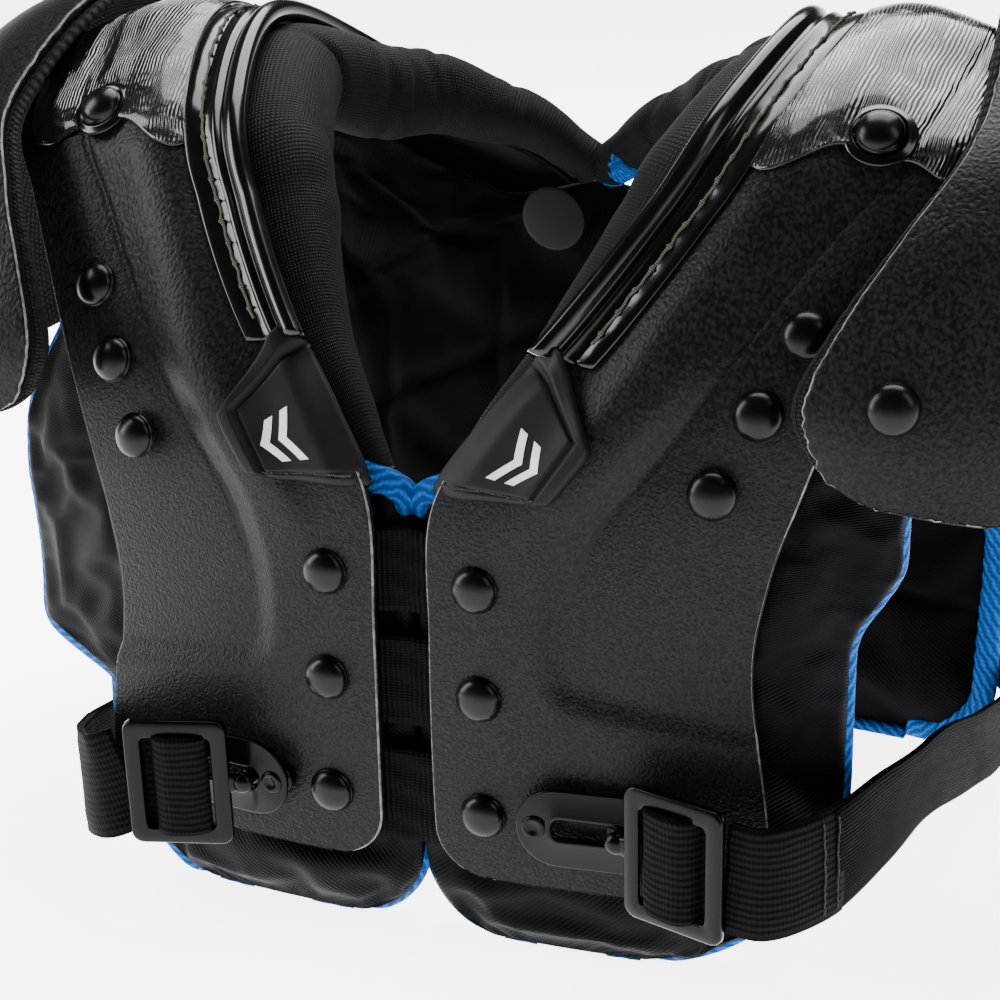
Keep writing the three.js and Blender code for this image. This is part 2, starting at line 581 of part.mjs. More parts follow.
for (const [word, side] of [["left", 1], ["right", -1]]) {
  const add = (name, geometry, look) => addPiece(
    `${word}_${name}`, side > 0 ? geometry : mirrored(geometry), look);
  add("arch", archPlate, plastic);
  add("cantilever", cantilever, plastic);
  add("hinge_band", bandPlate, vinyl);
  add("epaulette", flapPlate, plastic);
  add("epaulette_lining", flapLining, nylon);
  add("shoulder_cap", capPlate, plastic);
  add("cap_lining", capLining, nylon);
  add("neck_bead", neckBead, vinyl);
  add("neck_tab", tabPlate(), rubber);
  add("collar_roll", collarRoll(), nylon);
  add("chest_pad", pad(side, true), nylon);
  add("back_pad", pad(side, false), nylon);
  add("chest_binding", binding(side, true), tape);
  add("back_binding", binding(side, false), tape);
  add("front_keeper", keeper().applyMatrix4(chestBasis), steel);
  add("buckle", chestPlaced(buckle(), side), steel);
  add("rear_keeper", rearPlate(), steel);
  const belt = beltParts(side);
  add("belt_webbing", belt.webbing, elasticLook);
  add("belt_strap", belt.strap, elasticLook);
  const placeRivet = (place, seat, tail) => placed(rivet(seat, tail), place[0].at(place[1], place[2]),
    place[0].normal(place[1], place[2]));
  const onArch = ARCH_THICK + 0.4;
  CHEST_RIVETS.forEach((place, i) => add(`chest_rivet_${i + 1}`, placeRivet(place, onArch, -2.7), steel));
  SIDE_RIVETS.forEach((place, i) => add(`side_rivet_${i + 1}`, placeRivet(place, onArch, -2.6), steel));
  add("band_rivet", placeRivet(BAND_RIVET, ARCH_THICK + 3.1, -1.4), steel);
  add("epaulette_rivet", placeRivet(FLAP_RIVET, PLATE_THICK + 0.4, -4.2), steel);
}

const bothSides = (place) => [holeTool(place), mirrored(holeTool(place))];
CHEST_RIVETS.forEach((place, i) => addPiece(`chest_strap_${i + 1}`,
  elastic(place[1], i === 0 ? 0.31 : 0.28, bothSides(place)), elasticLook));
const BACK_STRAPS = [12.75, 13.4, 14.1];
BACK_STRAPS.forEach((station, i) => addPiece(`back_strap_${i + 1}`, elastic(station, 0.2, []), elasticLook));

export default group;
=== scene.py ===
"""Looks for the youth shoulder pads: fine surfaces, quilting, stitching and materials."""
import math
import bpy
import bmesh
import numpy as np
from mathutils import Matrix, Vector, noise


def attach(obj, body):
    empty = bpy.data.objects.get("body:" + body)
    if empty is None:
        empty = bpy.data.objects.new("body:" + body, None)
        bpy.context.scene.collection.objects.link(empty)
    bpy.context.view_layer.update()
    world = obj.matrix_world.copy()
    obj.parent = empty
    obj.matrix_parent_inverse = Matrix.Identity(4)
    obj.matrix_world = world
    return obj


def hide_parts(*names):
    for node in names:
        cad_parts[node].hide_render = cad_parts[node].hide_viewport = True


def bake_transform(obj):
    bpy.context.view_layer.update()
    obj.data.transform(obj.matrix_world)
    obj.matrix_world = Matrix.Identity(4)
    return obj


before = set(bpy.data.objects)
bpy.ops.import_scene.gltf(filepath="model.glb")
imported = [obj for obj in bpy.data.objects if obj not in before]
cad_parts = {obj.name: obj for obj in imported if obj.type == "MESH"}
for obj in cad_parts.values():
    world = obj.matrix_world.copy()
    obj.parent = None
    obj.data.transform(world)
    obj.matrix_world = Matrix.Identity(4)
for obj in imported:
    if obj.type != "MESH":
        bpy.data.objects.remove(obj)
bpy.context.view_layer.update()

# ---- driving dimensions, in millimetres ----------------------------------------------------------
DEPTH_SHIFT = 1.78   # moves the model along Y so that its box is centred
FLOOR_GAP = 0.15     # nothing goes below the plane that the pads stand on
ARCH_THICK = 3.0
PLATE_THICK = 2.6
FRONT_HEM = 0.5
BACK_HEM = 14.5
V_FRONT = 3.4
V_BACK = 11.5
MM_PER_STATION = 50.0
HEM_RADIUS = 14.0
RIVET_HEAD = 6.25
BELT_WIDE = 31.0
HOOK_OUT = 61.3
HOOK_TRAVEL = 16.0
KEEPER_X = 56.0
KEEPER_Z = 47.3
LAST = 15            # last station of the arch
WEBBING_SEAM = {1: 33.0, -1: 42.0}   # length of webbing before the knit strap, by side
PUFF_FRAMES = 20     # frames that the cloth is blown up for
PUFF_REACH = 4.5     # the furthest that a point of it moves
PUFF_PRESSURE = 4.0
PUFF_SLACK = 0.10    # share by which the cloth is larger than its outline

# Stations of the arch: neck point, then arm point (as the CAD has them).
ARCH = [
    [[9, -92, 0], [103, -84, 0]],
    [[8, -93, 50], [99, -84, 50]],
    [[8, -92, 95], [94, -83.5, 90]],
    [[9, -90, 130], [97, -82, 115]],
    [[22, -83, 152], [103, -79, 136]],
    [[41, -70, 174], [114, -68, 167]],
    [[59, -53, 199], [133, -47, 197]],
    [[73, -33, 223], [149, -26, 214]],
    [[84, 10, 241], [155, 12, 226]],
    [[76, 52, 227], [148, 55, 211]],
    [[54, 73, 205], [135, 75, 184]],
    [[24, 84, 190], [122, 87, 145]],
    [[10, 88, 170], [114, 90, 108]],
    [[9, 91, 110], [110, 91, 75]],
    [[9, 92, 50], [110, 89, 40]],
    [[9, 90, 0], [113, 86, 0]],
]
FLAP = [
    [[116, -95, 147], [160, -84, 140]],
    [[108, -95, 167], [166, -80, 164]],
    [[115, -86, 186], [172, -68, 187]],
    [[127, -71, 206], [177, -50, 206]],
    [[139, -46, 227], [182, -26, 220]],
    [[138, 10, 253], [185, 14, 232]],
    [[136, 60, 236], [180, 54, 221]],
    [[126, 88, 210], [174, 82, 202]],
    [[116, 102, 188], [168, 96, 180]],
    [[114, 108, 160], [161, 98, 154]],
]
CAP = [
    [[147, -42, 213], [184, -44, 141]],
    [[149, -20, 228], [191, -22, 138]],
    [[150, 12, 238], [195, 12, 136]],
    [[149, 45, 225], [191, 46, 138]],
    [[147, 62, 212], [184, 68, 142]],
]
CHEST_RIVETS = [(2.45, 0.16), (1.65, 0.165), (0.9, 0.16)]
SIDE_RIVETS = [(5.25, 0.77), (4.65, 0.77), (3.97, 0.75)]
BAND_RIVET = (6.85, 0.53)
BACK_RIVETS = [(12.75, 0.16), (13.4, 0.16), (14.1, 0.16)]
FLAP_RIVET = (1.1, 0.33)
# Tab outline on the arch, (station, share across), from the lower inner corner round to the tip.
TAB = [(3.13, 0.0), (3.4, 0.34), (4.05, 0.37), (4.98, -0.01)]


# ---- surfaces ------------------------------------------------------------------------------------
def smooth(a, b, x):
    t = np.clip((np.asarray(x, float) - a) / (b - a), 0, 1)
    return t * t * (3 - 2 * t)


def unit(v):
    return v / np.maximum(np.linalg.norm(v, axis=-1, keepdims=True), 1e-9)


def hump(x, centre, width):
    """A smooth bump, 1 at the centre."""
    return np.exp(-(((x - centre) / width) ** 2))


def run_along(line):
    """Length from a line's first point to each of its points."""
    return np.concatenate([[0], np.cumsum(np.linalg.norm(np.diff(line, axis=0), axis=1))])


def spline(points, t):
    """Uniform Catmull-Rom through points; t counts points, clamped at the ends."""
    p = np.asarray(points, float)
    p = np.vstack([2 * p[0] - p[1], p, 2 * p[-1] - p[-2]])
    t = np.clip(np.asarray(t, float), 0, len(points) - 1)
    i = np.minimum(t.astype(int), len(points) - 2)
    f = (t - i)[..., None]
    a, b, c, d = p[i], p[i + 1], p[i + 2], p[i + 3]
    m0, m1 = (c - a) / 2, (d - b) / 2
    return (2 * b - 2 * c + m0 + m1) * f**3 + (3 * c - 3 * b - 2 * m0 - m1) * f**2 + m0 * f + b


class Ruled:
    """A surface ruled between two splines, crowned between them."""

    def __init__(self, stations, crown):
        self.neck = [s[0] for s in stations]
        self.arm = [s[1] for s in stations]
        self.crown = crown
        self.last = len(stations) - 1

    def ends(self, u):
        return spline(self.neck, u), spline(self.arm, u)

    def width(self, u):
        a, b = self.ends(u)
        return np.linalg.norm(b - a, axis=-1)

    def _base(self, u, v):
        u, v = np.broadcast_arrays(np.asarray(u, float), np.asarray(v, float))
        a, b = self.ends(u)
        c, d = self.ends(np.minimum(u + 0.05, self.last))
        e, f = self.ends(np.maximum(u - 0.05, 0))
        axis = unit(np.cross(b - a, c + d - e - f))
        lift = self.crown(u) * 4 * v * (1 - v)
        return a + (b - a) * v[..., None] + axis * lift[..., None]

    def normal(self, u, v):
        u, v = np.broadcast_arrays(np.asarray(u, float), np.asarray(v, float))
        along = (self._base(np.minimum(u + 0.05, self.last), v)
                 - self._base(np.maximum(u - 0.05, 0), v))
        across = self._base(u, v + 0.02) - self._base(u, v - 0.02)
        return unit(np.cross(across, along))

    def at(self, u, v, lift=0.0):
        lift = np.asarray(lift, float)
        return self._base(u, v) + self.normal(u, v) * (lift[..., None] if lift.ndim else lift)


arch = Ruled(ARCH, lambda u: 3 + 6 * hump(u, 8.3, 1.9))
flap = Ruled(FLAP, lambda u: 5 + 0 * u)
cap = Ruled(CAP, lambda u: 20 + 0 * u)


# ---- mesh helpers --------------------------------------------------------------------------------
def to_frame(points, side=1):
    """Model millimetres to the frame's metres; side -1 mirrors to the wearer's right."""
    p = np.array(points, float).reshape(-1, 3)
    p[:, 0] *= side
    p[:, 1] += DEPTH_SHIFT
    p[:, 2] = np.maximum(p[:, 2], FLOOR_GAP)
    return p / 1000.0


def make_object(name, points, faces, materials, side=1, face_mats=None, weave=None, flat=False):
    mesh = bpy.data.meshes.new(name)
    if side < 0:
        faces = [tuple(reversed(f)) for f in faces]
    mesh.from_pydata(to_frame(points, side).tolist(), [], [tuple(int(i) for i in f) for f in faces])
    for m in materials:
        mesh.materials.append(m)
    if face_mats is not None:
        mesh.polygons.foreach_set("material_index", np.asarray(face_mats, np.int32))
    mesh.polygons.foreach_set("use_smooth", np.full(len(mesh.polygons), not flat))
    if weave is not None:
        layer = mesh.attributes.new("weave", "FLOAT_VECTOR", "POINT")
        layer.data.foreach_set("vector", np.asarray(weave, np.float32).ravel())
    mesh.update()
    obj = bpy.data.objects.new(name, mesh)
    bpy.context.scene.collection.objects.link(obj)
    outward_fix(obj)
    return obj


def fasten(obj, body, node):
    """Put a piece on its body, in place of a CAD node."""
    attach(obj, body)
    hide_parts(node)


def grid_faces(rows, cols, start=0, wrap=False):
    faces = []
    for i in range(rows - 1):
        for j in range(cols if wrap else cols - 1):
            k = (j + 1) % cols
            faces.append((start + i * cols + j, start + i * cols + k, start + (i + 1) * cols + k,
                          start + (i + 1) * cols + j))
    return faces


def bar_faces(rows, cols):
    """Faces of a bar: its wrapped side, and a cap on each end."""
    faces = grid_faces(rows, cols, wrap=True)
    faces.append(tuple(reversed(range(cols))))
    faces.append(tuple(range((rows - 1) * cols, rows * cols)))
    return faces


def border(rows, cols):
    ring = [j for j in range(cols)]
    ring += [i * cols + cols - 1 for i in range(1, rows)]
    ring += [(rows - 1) * cols + j for j in range(cols - 2, -1, -1)]
    ring += [i * cols for i in range(rows - 2, 0, -1)]
    return ring


def plate(name, top, low, materials, side=1, bevel=0.45, weave=None):
    """A closed plate between two grids of points; its bevelled cut edge has the second material."""
    rows, cols = top.shape[:2]
    flat_top, flat_low = top.reshape(-1, 3), low.reshape(-1, 3)
    ring = border(rows, cols)
    n = rows * cols
    edge = flat_top[ring].copy()
    normal = unit(flat_top[ring] - flat_low[ring])
    tangent = unit(np.roll(edge, -1, 0) - np.roll(edge, 1, 0))
    outward = unit(np.cross(tangent, normal))
    shoulder = edge - normal * bevel
    points = np.vstack([flat_top, flat_low, shoulder])
    points[ring] = edge - outward * bevel
    faces = grid_faces(rows, cols)
    face_mats = [0] * len(faces)
    under = [tuple(reversed([i + n for i in f])) for f in faces]
    faces += under
    face_mats += [min(2, len(materials) - 1)] * len(under)
    m = len(ring)
    for k in range(m):
        q = (k + 1) % m
        faces.append((ring[q], ring[k], 2 * n + k, 2 * n + q))
        face_mats.append(min(1, len(materials) - 1))
        faces.append((2 * n + q, 2 * n + k, n + ring[k], n + ring[q]))
        face_mats.append(0)
    if weave is not None:
        flat = weave.reshape(-1, 3)
        weave = np.vstack([flat, flat, flat[ring]])
    return make_object(name, points, faces, materials, side, face_mats, weave)


def tube(name, centres, sides_dir, ups_dir, shape, materials, side=1):
    """A bar along centres; shape(i, angle) gives the offsets across and up, in millimetres."""
    centres = np.asarray(centres, float)
    rows = len(centres)
    cols = shape.shape[1]
    points = (centres[:, None] + sides_dir[:, None] * shape[..., :1]
              + ups_dir[:, None] * shape[..., 1:2])
    run = run_along(centres)
    around = np.linalg.norm(np.roll(shape, -1, 1) - shape, axis=-1)
    turn = np.concatenate([np.zeros((rows, 1)), np.cumsum(around, axis=1)[:, :-1]], axis=1)
    weave = np.stack([np.repeat(run[:, None], cols, 1), turn, np.zeros((rows, cols))], -1)
    faces = bar_faces(rows, cols)
    return make_object(name, points.reshape(-1, 3), faces, materials, side,
                       weave=weave.reshape(-1, 3))


def ring_shape(rows, cols, half_wide, half_tall, power=2.0):
    """Superellipse offsets for a tube: half sizes may change from row to row."""
    a = np.linspace(0, 2 * math.pi, cols, endpoint=False)
    c, s = np.cos(a), np.sin(a)
    x = np.sign(c) * np.abs(c) ** (2 / power)
    y = np.sign(s) * np.abs(s) ** (2 / power)
    w = np.broadcast_to(np.asarray(half_wide, float), (rows,))
    t = np.broadcast_to(np.asarray(half_tall, float), (rows,))
    return np.stack([w[:, None] * x, t[:, None] * y], -1)


def wave_noise(points, size, seed=0.0):
    """Smooth signed noise, one value for each point, features of about size millimetres."""
    offset = Vector((seed * 17.3, seed * 5.1, seed * 9.7))
    flat = np.asarray(points, float).reshape(-1, 3) / size
    return np.array([noise.noise(Vector(p) + offset) for p in flat]).reshape(np.shape(points)[:-1])


def subdivided(obj, levels=1):
    mod = obj.modifiers.new("smooth", "SUBSURF")
    mod.levels = mod.render_levels = levels
    return obj


# ---- materials -----------------------------------------------------------------------------------
class Look:
    """A Principled material under construction, with short helpers for its node tree."""

    def __init__(self, name, colour, roughness, specular=0.5, sheen=0.0, coat=0.0):
        self.material = bpy.data.materials.new(name)
        self.material.use_nodes = True
        self.nodes = self.material.node_tree.nodes
        self.links = self.material.node_tree.links
        self.shader = self.nodes["Principled BSDF"]
        self.set("Base Color", (*colour, 1))
        self.set("Roughness", roughness)
        self.set("Metallic", 0.0)
        self.set("Specular IOR Level", specular)
        self.set("Sheen Weight", sheen)
        self.set("Sheen Roughness", 0.4)
        self.set("Coat Weight", coat)
        self.set("Coat Roughness", 0.1)
        self.normal = None

    def set(self, socket, value):
        self.shader.inputs[socket].default_value = value

    def node(self, kind, **settings):
        made = self.nodes.new(kind)
        for key, value in settings.items():
            if hasattr(made, key):
                setattr(made, key, value)
            else:
                made.inputs[key.replace("_", " ")].default_value = value
        return made

    def math(self, operation, a, b=0.0):
        made = self.node("ShaderNodeMath", operation=operation)
        for socket, value in zip(made.inputs, (a, b)):
            if isinstance(value, (int, float)):
                socket.default_value = value
            else:
                self.links.new(value, socket)
        return made.outputs[0]

    def blend(self, a, share_a, b, share_b):
        """The sum of two values, each times its share."""
        return self.math("ADD", self.math("MULTIPLY", a, share_a),
                         self.math("MULTIPLY", b, share_b))

    def place(self, scale=(1, 1, 1), space="Object", turn=(0, 0, 0)):
        """Coordinates in metres, or the weave attribute's millimetres, scaled and turned."""
        mapping = self.node("ShaderNodeMapping")
        mapping.inputs["Scale"].default_value = scale
        mapping.inputs["Rotation"].default_value = turn
        if space == "weave":
            source = self.node("ShaderNodeAttribute", attribute_name="weave").outputs["Vector"]
        else:
            source = self.node("ShaderNodeTexCoord").outputs[space]
        self.links.new(source, mapping.inputs["Vector"])
        return mapping.outputs[0]

    def noise(self, coordinates, scale, detail=2.0, roughness=0.5):
        made = self.node("ShaderNodeTexNoise", Scale=scale, Detail=detail, Roughness=roughness)
        self.links.new(coordinates, made.inputs["Vector"])
        return made.outputs["Fac"]

    def ripple(self, coordinates, axis, per_mm):
        """A sine along one axis of millimetre coordinates, from 0 to 1."""
        split = self.node("ShaderNodeSeparateXYZ")
        self.links.new(coordinates, split.inputs[0])
        wave = self.math("SINE", self.math("MULTIPLY", split.outputs[axis], 2 * math.pi * per_mm))
        return self.math("ADD", self.math("MULTIPLY", wave, 0.5), 0.5)

    def ramp(self, factor, stops):
        made = self.node("ShaderNodeValToRGB")
        elements = made.color_ramp.elements
        while len(elements) < len(stops):
            elements.new(0.5)
        for element, (place, colour) in zip(elements, stops):
            element.position = place
            element.color = (*colour, 1)
        self.links.new(factor, made.inputs[0])
        return made.outputs[0]

    def colour_by(self, factor, low, high, dark=0.35, light=0.65):
        self.links.new(self.ramp(factor, [(dark, low), (light, high)]),
                       self.shader.inputs["Base Color"])
        return self

    def rough_by(self, factor, low, high):
        made = self.node("ShaderNodeMapRange", To_Min=low, To_Max=high)
        self.links.new(factor, made.inputs[0])
        self.links.new(made.outputs[0], self.shader.inputs["Roughness"])
        return self

    def bump(self, height, distance_mm, strength=1.0):
        made = self.node("ShaderNodeBump", Strength=strength, Distance=distance_mm / 1000)
        self.links.new(height, made.inputs["Height"])
        if self.normal is not None:
            self.links.new(self.normal, made.inputs["Normal"])
        self.normal = made.outputs[0]
        self.links.new(self.normal, self.shader.inputs["Normal"])
        return self


def grained_plastic(name, low, high, roughness):
    """Moulded plastic with a pebbled leather grain, coarser towards the shoulder."""
    look = Look(name, low, roughness, specular=0.055)
    around = look.place()
    fine = look.noise(around, 1250, detail=1.2, roughness=0.5)
    coarse = look.noise(look.place(scale=(1, 1, 0.75)), 1000, detail=0.8)
    split = look.node("ShaderNodeSeparateXYZ")
    look.links.new(around, split.inputs[0])
    high_up = look.node("ShaderNodeMapRange", From_Min=0.12, From_Max=0.19)
    look.links.new(split.outputs[2], high_up.inputs[0])
    grain = look.math("ADD", look.math("MULTIPLY", fine,
                                       look.math("SUBTRACT", 1.0, high_up.outputs[0])),
                      look.math("MULTIPLY", coarse, high_up.outputs[0]))
    scuff = look.noise(around, 38, detail=4)
    look.colour_by(look.blend(grain, 0.85, scuff, 0.15),
                   low, high, 0.4, 0.62)
    look.rough_by(look.blend(scuff, 0.6, grain, 0.4),
                  roughness - 0.05, roughness + 0.08)
    look.bump(scuff, 0.12, 0.3)
    return look.bump(grain, 0.34, 0.85).material


def cut_edge_highlight(name, colour):
    """The pale, slightly torn edge that die cutting leaves; its paleness is partly the cut
    plastic's own and partly a painted highlight along the rim.
    """
    look = Look(name, colour, 0.6)
    torn = look.noise(look.place(), 420, detail=4)
    look.colour_by(torn, tuple(c * 0.25 for c in colour), tuple(c * 1.5 for c in colour), 0.38, 0.6)
    return look.bump(torn, 0.5).material


def woven(name, low, high, pitch, roughness=0.8, sheen=0.3, twill=True, depth=0.25, specular=0.3):
    """Woven cloth: twill lines run across both thread directions, plain weave crosses them."""
    look = Look(name, low, roughness, sheen=sheen, specular=specular)
    threads = look.place(space="weave")
    across = look.ripple(threads, 0, 1 / pitch)
    along = look.ripple(threads, 1, 1 / pitch)
    diagonal = look.ripple(look.place(space="weave", turn=(0, 0, math.radians(55))), 0,
                           0.62 / pitch)
    cloth = look.math("MULTIPLY", across, along)
    if twill:
        cloth = look.blend(cloth, 0.3, diagonal, 0.7)
    blotch = look.noise(look.place(), 55, detail=3)
    look.colour_by(look.blend(cloth, 0.6, blotch, 0.4),
                   low, high, 0.3, 0.8)
    look.rough_by(blotch, roughness - 0.1, roughness + 0.1)
    return look.bump(cloth, depth, 0.8).material


def ribbed(name, low, high, axis, per_mm, roughness, depth, specular, coat=0.0, waver=0.0,
           cross=0.0, swirl=0.0):
    """Ribs along one axis of the weave coordinates, a little wavy, with an optional cross rib."""
    look = Look(name, low, roughness, specular=specular, coat=coat)
    threads = look.place(space="weave")
    if waver:
        shift = look.noise(look.place(space="weave", scale=(0.05, 0.05, 0.05)), 1.6, detail=3)
        moved = look.node("ShaderNodeVectorMath", operation="ADD")
        look.links.new(threads, moved.inputs[0])
        scaled = look.node("ShaderNodeVectorMath", operation="SCALE")
        look.links.new(look.ramp(shift, [(0.2, (0, 0, 0)), (0.8, (1, 1, 0))]), scaled.inputs[0])
        scaled.inputs["Scale"].default_value = waver
        look.links.new(scaled.outputs[0], moved.inputs[1])
        threads = moved.outputs[0]
    rib = look.ripple(threads, axis, per_mm)
    if cross:
        rib = look.math("ADD", look.math("MULTIPLY", rib, 0.7),
                        look.math("MULTIPLY", look.ripple(threads, 1 - axis, cross), 0.3))
    worn = look.noise(look.place(), 90, detail=3)
    look.colour_by(look.blend(rib, 0.7, worn, 0.3),
                   low, high, 0.25, 0.85)
    look.rough_by(worn, max(roughness - 0.08, 0.05), roughness + 0.1)
    if swirl:
        swirls = look.noise(look.place(space="weave", scale=(0.085, 0.035, 1)), 1.0, detail=1.0)
        look.bump(swirls, swirl, 1.0)
    return look.bump(rib, depth, 0.9).material


def glossy(name, colour, roughness, coat=0.5, specular=0.5, wave=0.2):
    """Gloss vinyl or painted steel, with a faintly uneven surface and fine scratches."""
    look = Look(name, colour, roughness, specular=specular, coat=coat)
    uneven = look.noise(look.place(), 60, detail=3)
    scratch = look.noise(look.place(scale=(1, 1, 0.08)), 900, detail=2)
    look.colour_by(uneven, tuple(c * 0.8 for c in colour), tuple(c * 1.35 for c in colour))
    look.rough_by(look.blend(uneven, 0.6, scratch, 0.4),
                  roughness * 0.7, roughness * 1.4)
    return look.bump(uneven, wave, 0.5).material


def rubber(name, colour):
    """Matte rubber with moulding dust and a faint grain."""
    look = Look(name, colour, 0.45, specular=0.1)
    dust = look.noise(look.place(), 130, detail=5)
    pore = look.noise(look.place(), 2200, detail=1)
    look.colour_by(dust, tuple(c * 0.8 for c in colour), tuple(c * 1.5 for c in colour), 0.4, 0.72)
    look.rough_by(dust, 0.45, 0.68)
    return look.bump(pore, 0.08, 0.6).material


PLASTIC = grained_plastic("grained_plastic", (0.0017, 0.0018, 0.0021), (0.006, 0.0063, 0.007), 0.37)
# The cut edge's pale colour is partly the die-cut plastic's own and partly a painted highlight
# along the plate rims.
CUT_EDGE_HIGHLIGHT = cut_edge_highlight("cut_edge_highlight", (0.05, 0.05, 0.048))
UNDERSIDE = rubber("plate_underside", (0.0015, 0.0015, 0.0017))
NYLON = woven("pad_nylon", (0.0003, 0.0003, 0.0005), (0.0015, 0.0016, 0.0022), 0.6, roughness=0.5,
              sheen=0.0, depth=0.14, specular=0.035)
LINING = woven("lining_cloth", (0.0003, 0.0003, 0.0004), (0.0012, 0.0012, 0.0015), 0.8,
               roughness=0.7, sheen=0.0, depth=0.16, specular=0.025)
COLLAR = woven("collar_cloth", (0.0006, 0.0007, 0.0009), (0.0034, 0.0036, 0.0046), 1.05,
               roughness=0.65, sheen=0.01, twill=False, depth=0.3, specular=0.06)
FLAP_WEAVE = woven("flap_backing", (0.001, 0.001, 0.001), (0.012, 0.0105, 0.008), 1.7,
                   roughness=0.9, sheen=0.0, twill=False, depth=0.6, specular=0.1)
BLUE = woven("binding_tape", (0.0, 0.022, 0.1), (0.0, 0.085, 0.34), 1.5, roughness=0.6, sheen=0.0,
             depth=0.4, specular=0.04)
PIPING = glossy("piping_vinyl", (0.001, 0.001, 0.0012), 0.15, coat=0.0, specular=0.2, wave=0.15)
BAND = ribbed("ribbed_vinyl", (0.0012, 0.0012, 0.0014), (0.006, 0.006, 0.0065), 0, 0.95, 0.16, 0.3,
              specular=0.35, coat=0.25, waver=2.2, swirl=5.5)
TAB_RUBBER = rubber("tab_rubber", (0.0012, 0.0012, 0.0014))
MARK = glossy("mark_print", (0.3, 0.31, 0.32), 0.45, coat=0.0, wave=0.05)
THREAD = ribbed("sewing_thread", (0.012, 0.011, 0.009), (0.085, 0.075, 0.06), 0, 1.6, 0.7, 0.2,
                specular=0.1)
DARK_THREAD = ribbed("dark_thread", (0.0015, 0.0015, 0.0015), (0.012, 0.012, 0.012), 0, 1.6, 0.7,
                     0.2, specular=0.2)
RIVET = glossy("rivet_black", (0.0008, 0.0008, 0.001), 0.25, coat=0.0, specular=0.1, wave=0.1)
STEEL = glossy("black_steel", (0.0006, 0.0006, 0.0007), 0.22, coat=0.0, specular=0.07, wave=0.1)
ELASTIC = ribbed("elastic_webbing", (0.0002, 0.0002, 0.0003), (0.0018, 0.0018, 0.0022), 0, 0.62,
                 0.72, 0.5, specular=0.03, cross=1.1)
WEBBING = ribbed("belt_webbing", (0.0002, 0.0002, 0.0003), (0.003, 0.003, 0.0034), 1, 0.5, 0.75,
                 0.5, specular=0.03, cross=0.9, waver=1.0)
KNIT = ribbed("knit_strap", (0.0002, 0.0002, 0.0003), (0.0016, 0.0016, 0.002), 1, 0.9, 0.8, 0.35,
              specular=0.02, cross=0.8)
DISC = rubber("lining_disc", (0.0025, 0.0025, 0.0028))


# ---- arch ----------------------------------------------------------------------------------------
# Moulded relief: a rounded ridge beside the neck, a thin crease, and a sunk panel, softly sloped.
RIDGE = [(2.2, 0.22), (2.8, 0.25), (3.4, 0.30), (4.0, 0.35), (4.6, 0.37), (5.4, 0.35), (6.6, 0.33),
         (8.3, 0.36), (10.5, 0.36), (12.5, 0.36), (14.5, 0.36)]
CREASE = [(0.5, 0.60), (1.7, 0.46), (2.15, 0.435), (2.45, 0.44), (2.85, 0.465), (3.45, 0.50),
          (4.05, 0.54), (4.5, 0.57), (5.1, 0.60), (5.8, 0.62), (6.4, 0.64), (8.3, 0.66),
          (10.5, 0.64), (12.5, 0.60), (14.5, 0.58)]
RIDGE_HIGH = 3.6
PANEL_DEEP = 2.5
PANEL_SLOPE = 9.0
PANEL_BOTTOM = 1.78


def along_table(table, u):
    """A smooth curve of v through a few (u, v) points."""
    at = np.array([p[0] for p in table])
    value = np.array([[p[1]] for p in table])
    place = np.interp(u, at, np.arange(len(at)))
    return spline(value, place)[..., 0]


def relief(u, v):
    width = arch.width(u)
    off = (v - along_table(RIDGE, u)) * width
    spread = np.where(off < 0, 6.0 + 4 * smooth(3.2, 4.6, u), 12.0)
    high = (RIDGE_HIGH * smooth(2.2, 4.4, u) * (1 - smooth(12.4, 13.6, u))
            * (1 - 0.5 * smooth(6.3, 6.9, u)))
    ridge = high * np.exp(-(np.abs(off / spread) ** 2.3))
    from_crease = (v - along_table(CREASE, u)) * width
    bottom = (u - (PANEL_BOTTOM - 0.28 * (v - 0.5))) * MM_PER_STATION
    blend = 7.0
    mix = np.clip(0.5 + 0.5 * (bottom - from_crease) / blend, 0, 1)
    inside = bottom + (from_crease - bottom) * mix - blend * mix * (1 - mix)
    fade = 1 - smooth(3.9, 5.2, u)
    panel = -PANEL_DEEP * fade * smooth(-PANEL_SLOPE, 0, inside)
    crease = -0.55 * smooth(2.0, 3.4, u) * (1 - smooth(12.5, 13.5, u)) * hump(from_crease, 0, 0.9)
    swell = 0.9 * smooth(3.4, 4.6, u) * (1 - smooth(12.0, 13.0, u)) * smooth(0, 9, from_crease)
    return ridge + panel + crease + swell


def hem_inset(u, first, last, radius):
    run = np.minimum(u - first, last - u) * MM_PER_STATION
    return np.where(run >= radius, 0,
                    radius - np.sqrt(np.maximum(radius**2 - np.maximum(radius - run, 0) ** 2, 0)))


def dense_ends(first, last, step, corner):
    """Stations that crowd together in the last stretch at each end, where the corners are round."""
    n = 14
    near = first + corner * (1 - np.cos(np.linspace(0, math.pi / 2, n)))
    far = last - corner * (1 - np.cos(np.linspace(0, math.pi / 2, n)))
    middle = np.linspace(near[-1], far[-1], int((far[-1] - near[-1]) / step) + 1)
    return np.concatenate([near[:-1], middle, far[::-1][1:]])


def surface_weave(surface, uu, vv):
    return np.stack([vv * surface.width(uu), uu * MM_PER_STATION * 0.6, 0 * uu], -1)


def skin_grid(surface, stations, span, across, high, low):
    """Top and bottom grids, and weave coordinates, of a skin on a ruled surface.

    Its two heights over the surface are numbers, or functions of (u, v).
    """
    uu, ss = np.meshgrid(stations, across, indexing="ij")
    a, b = span(stations)
    vv = a[:, None] + (b - a)[:, None] * ss
    top, under = (surface.at(uu, vv, lift(uu, vv) if callable(lift) else lift)
                  for lift in (high, low))
    return top, under, surface_weave(surface, uu, vv)


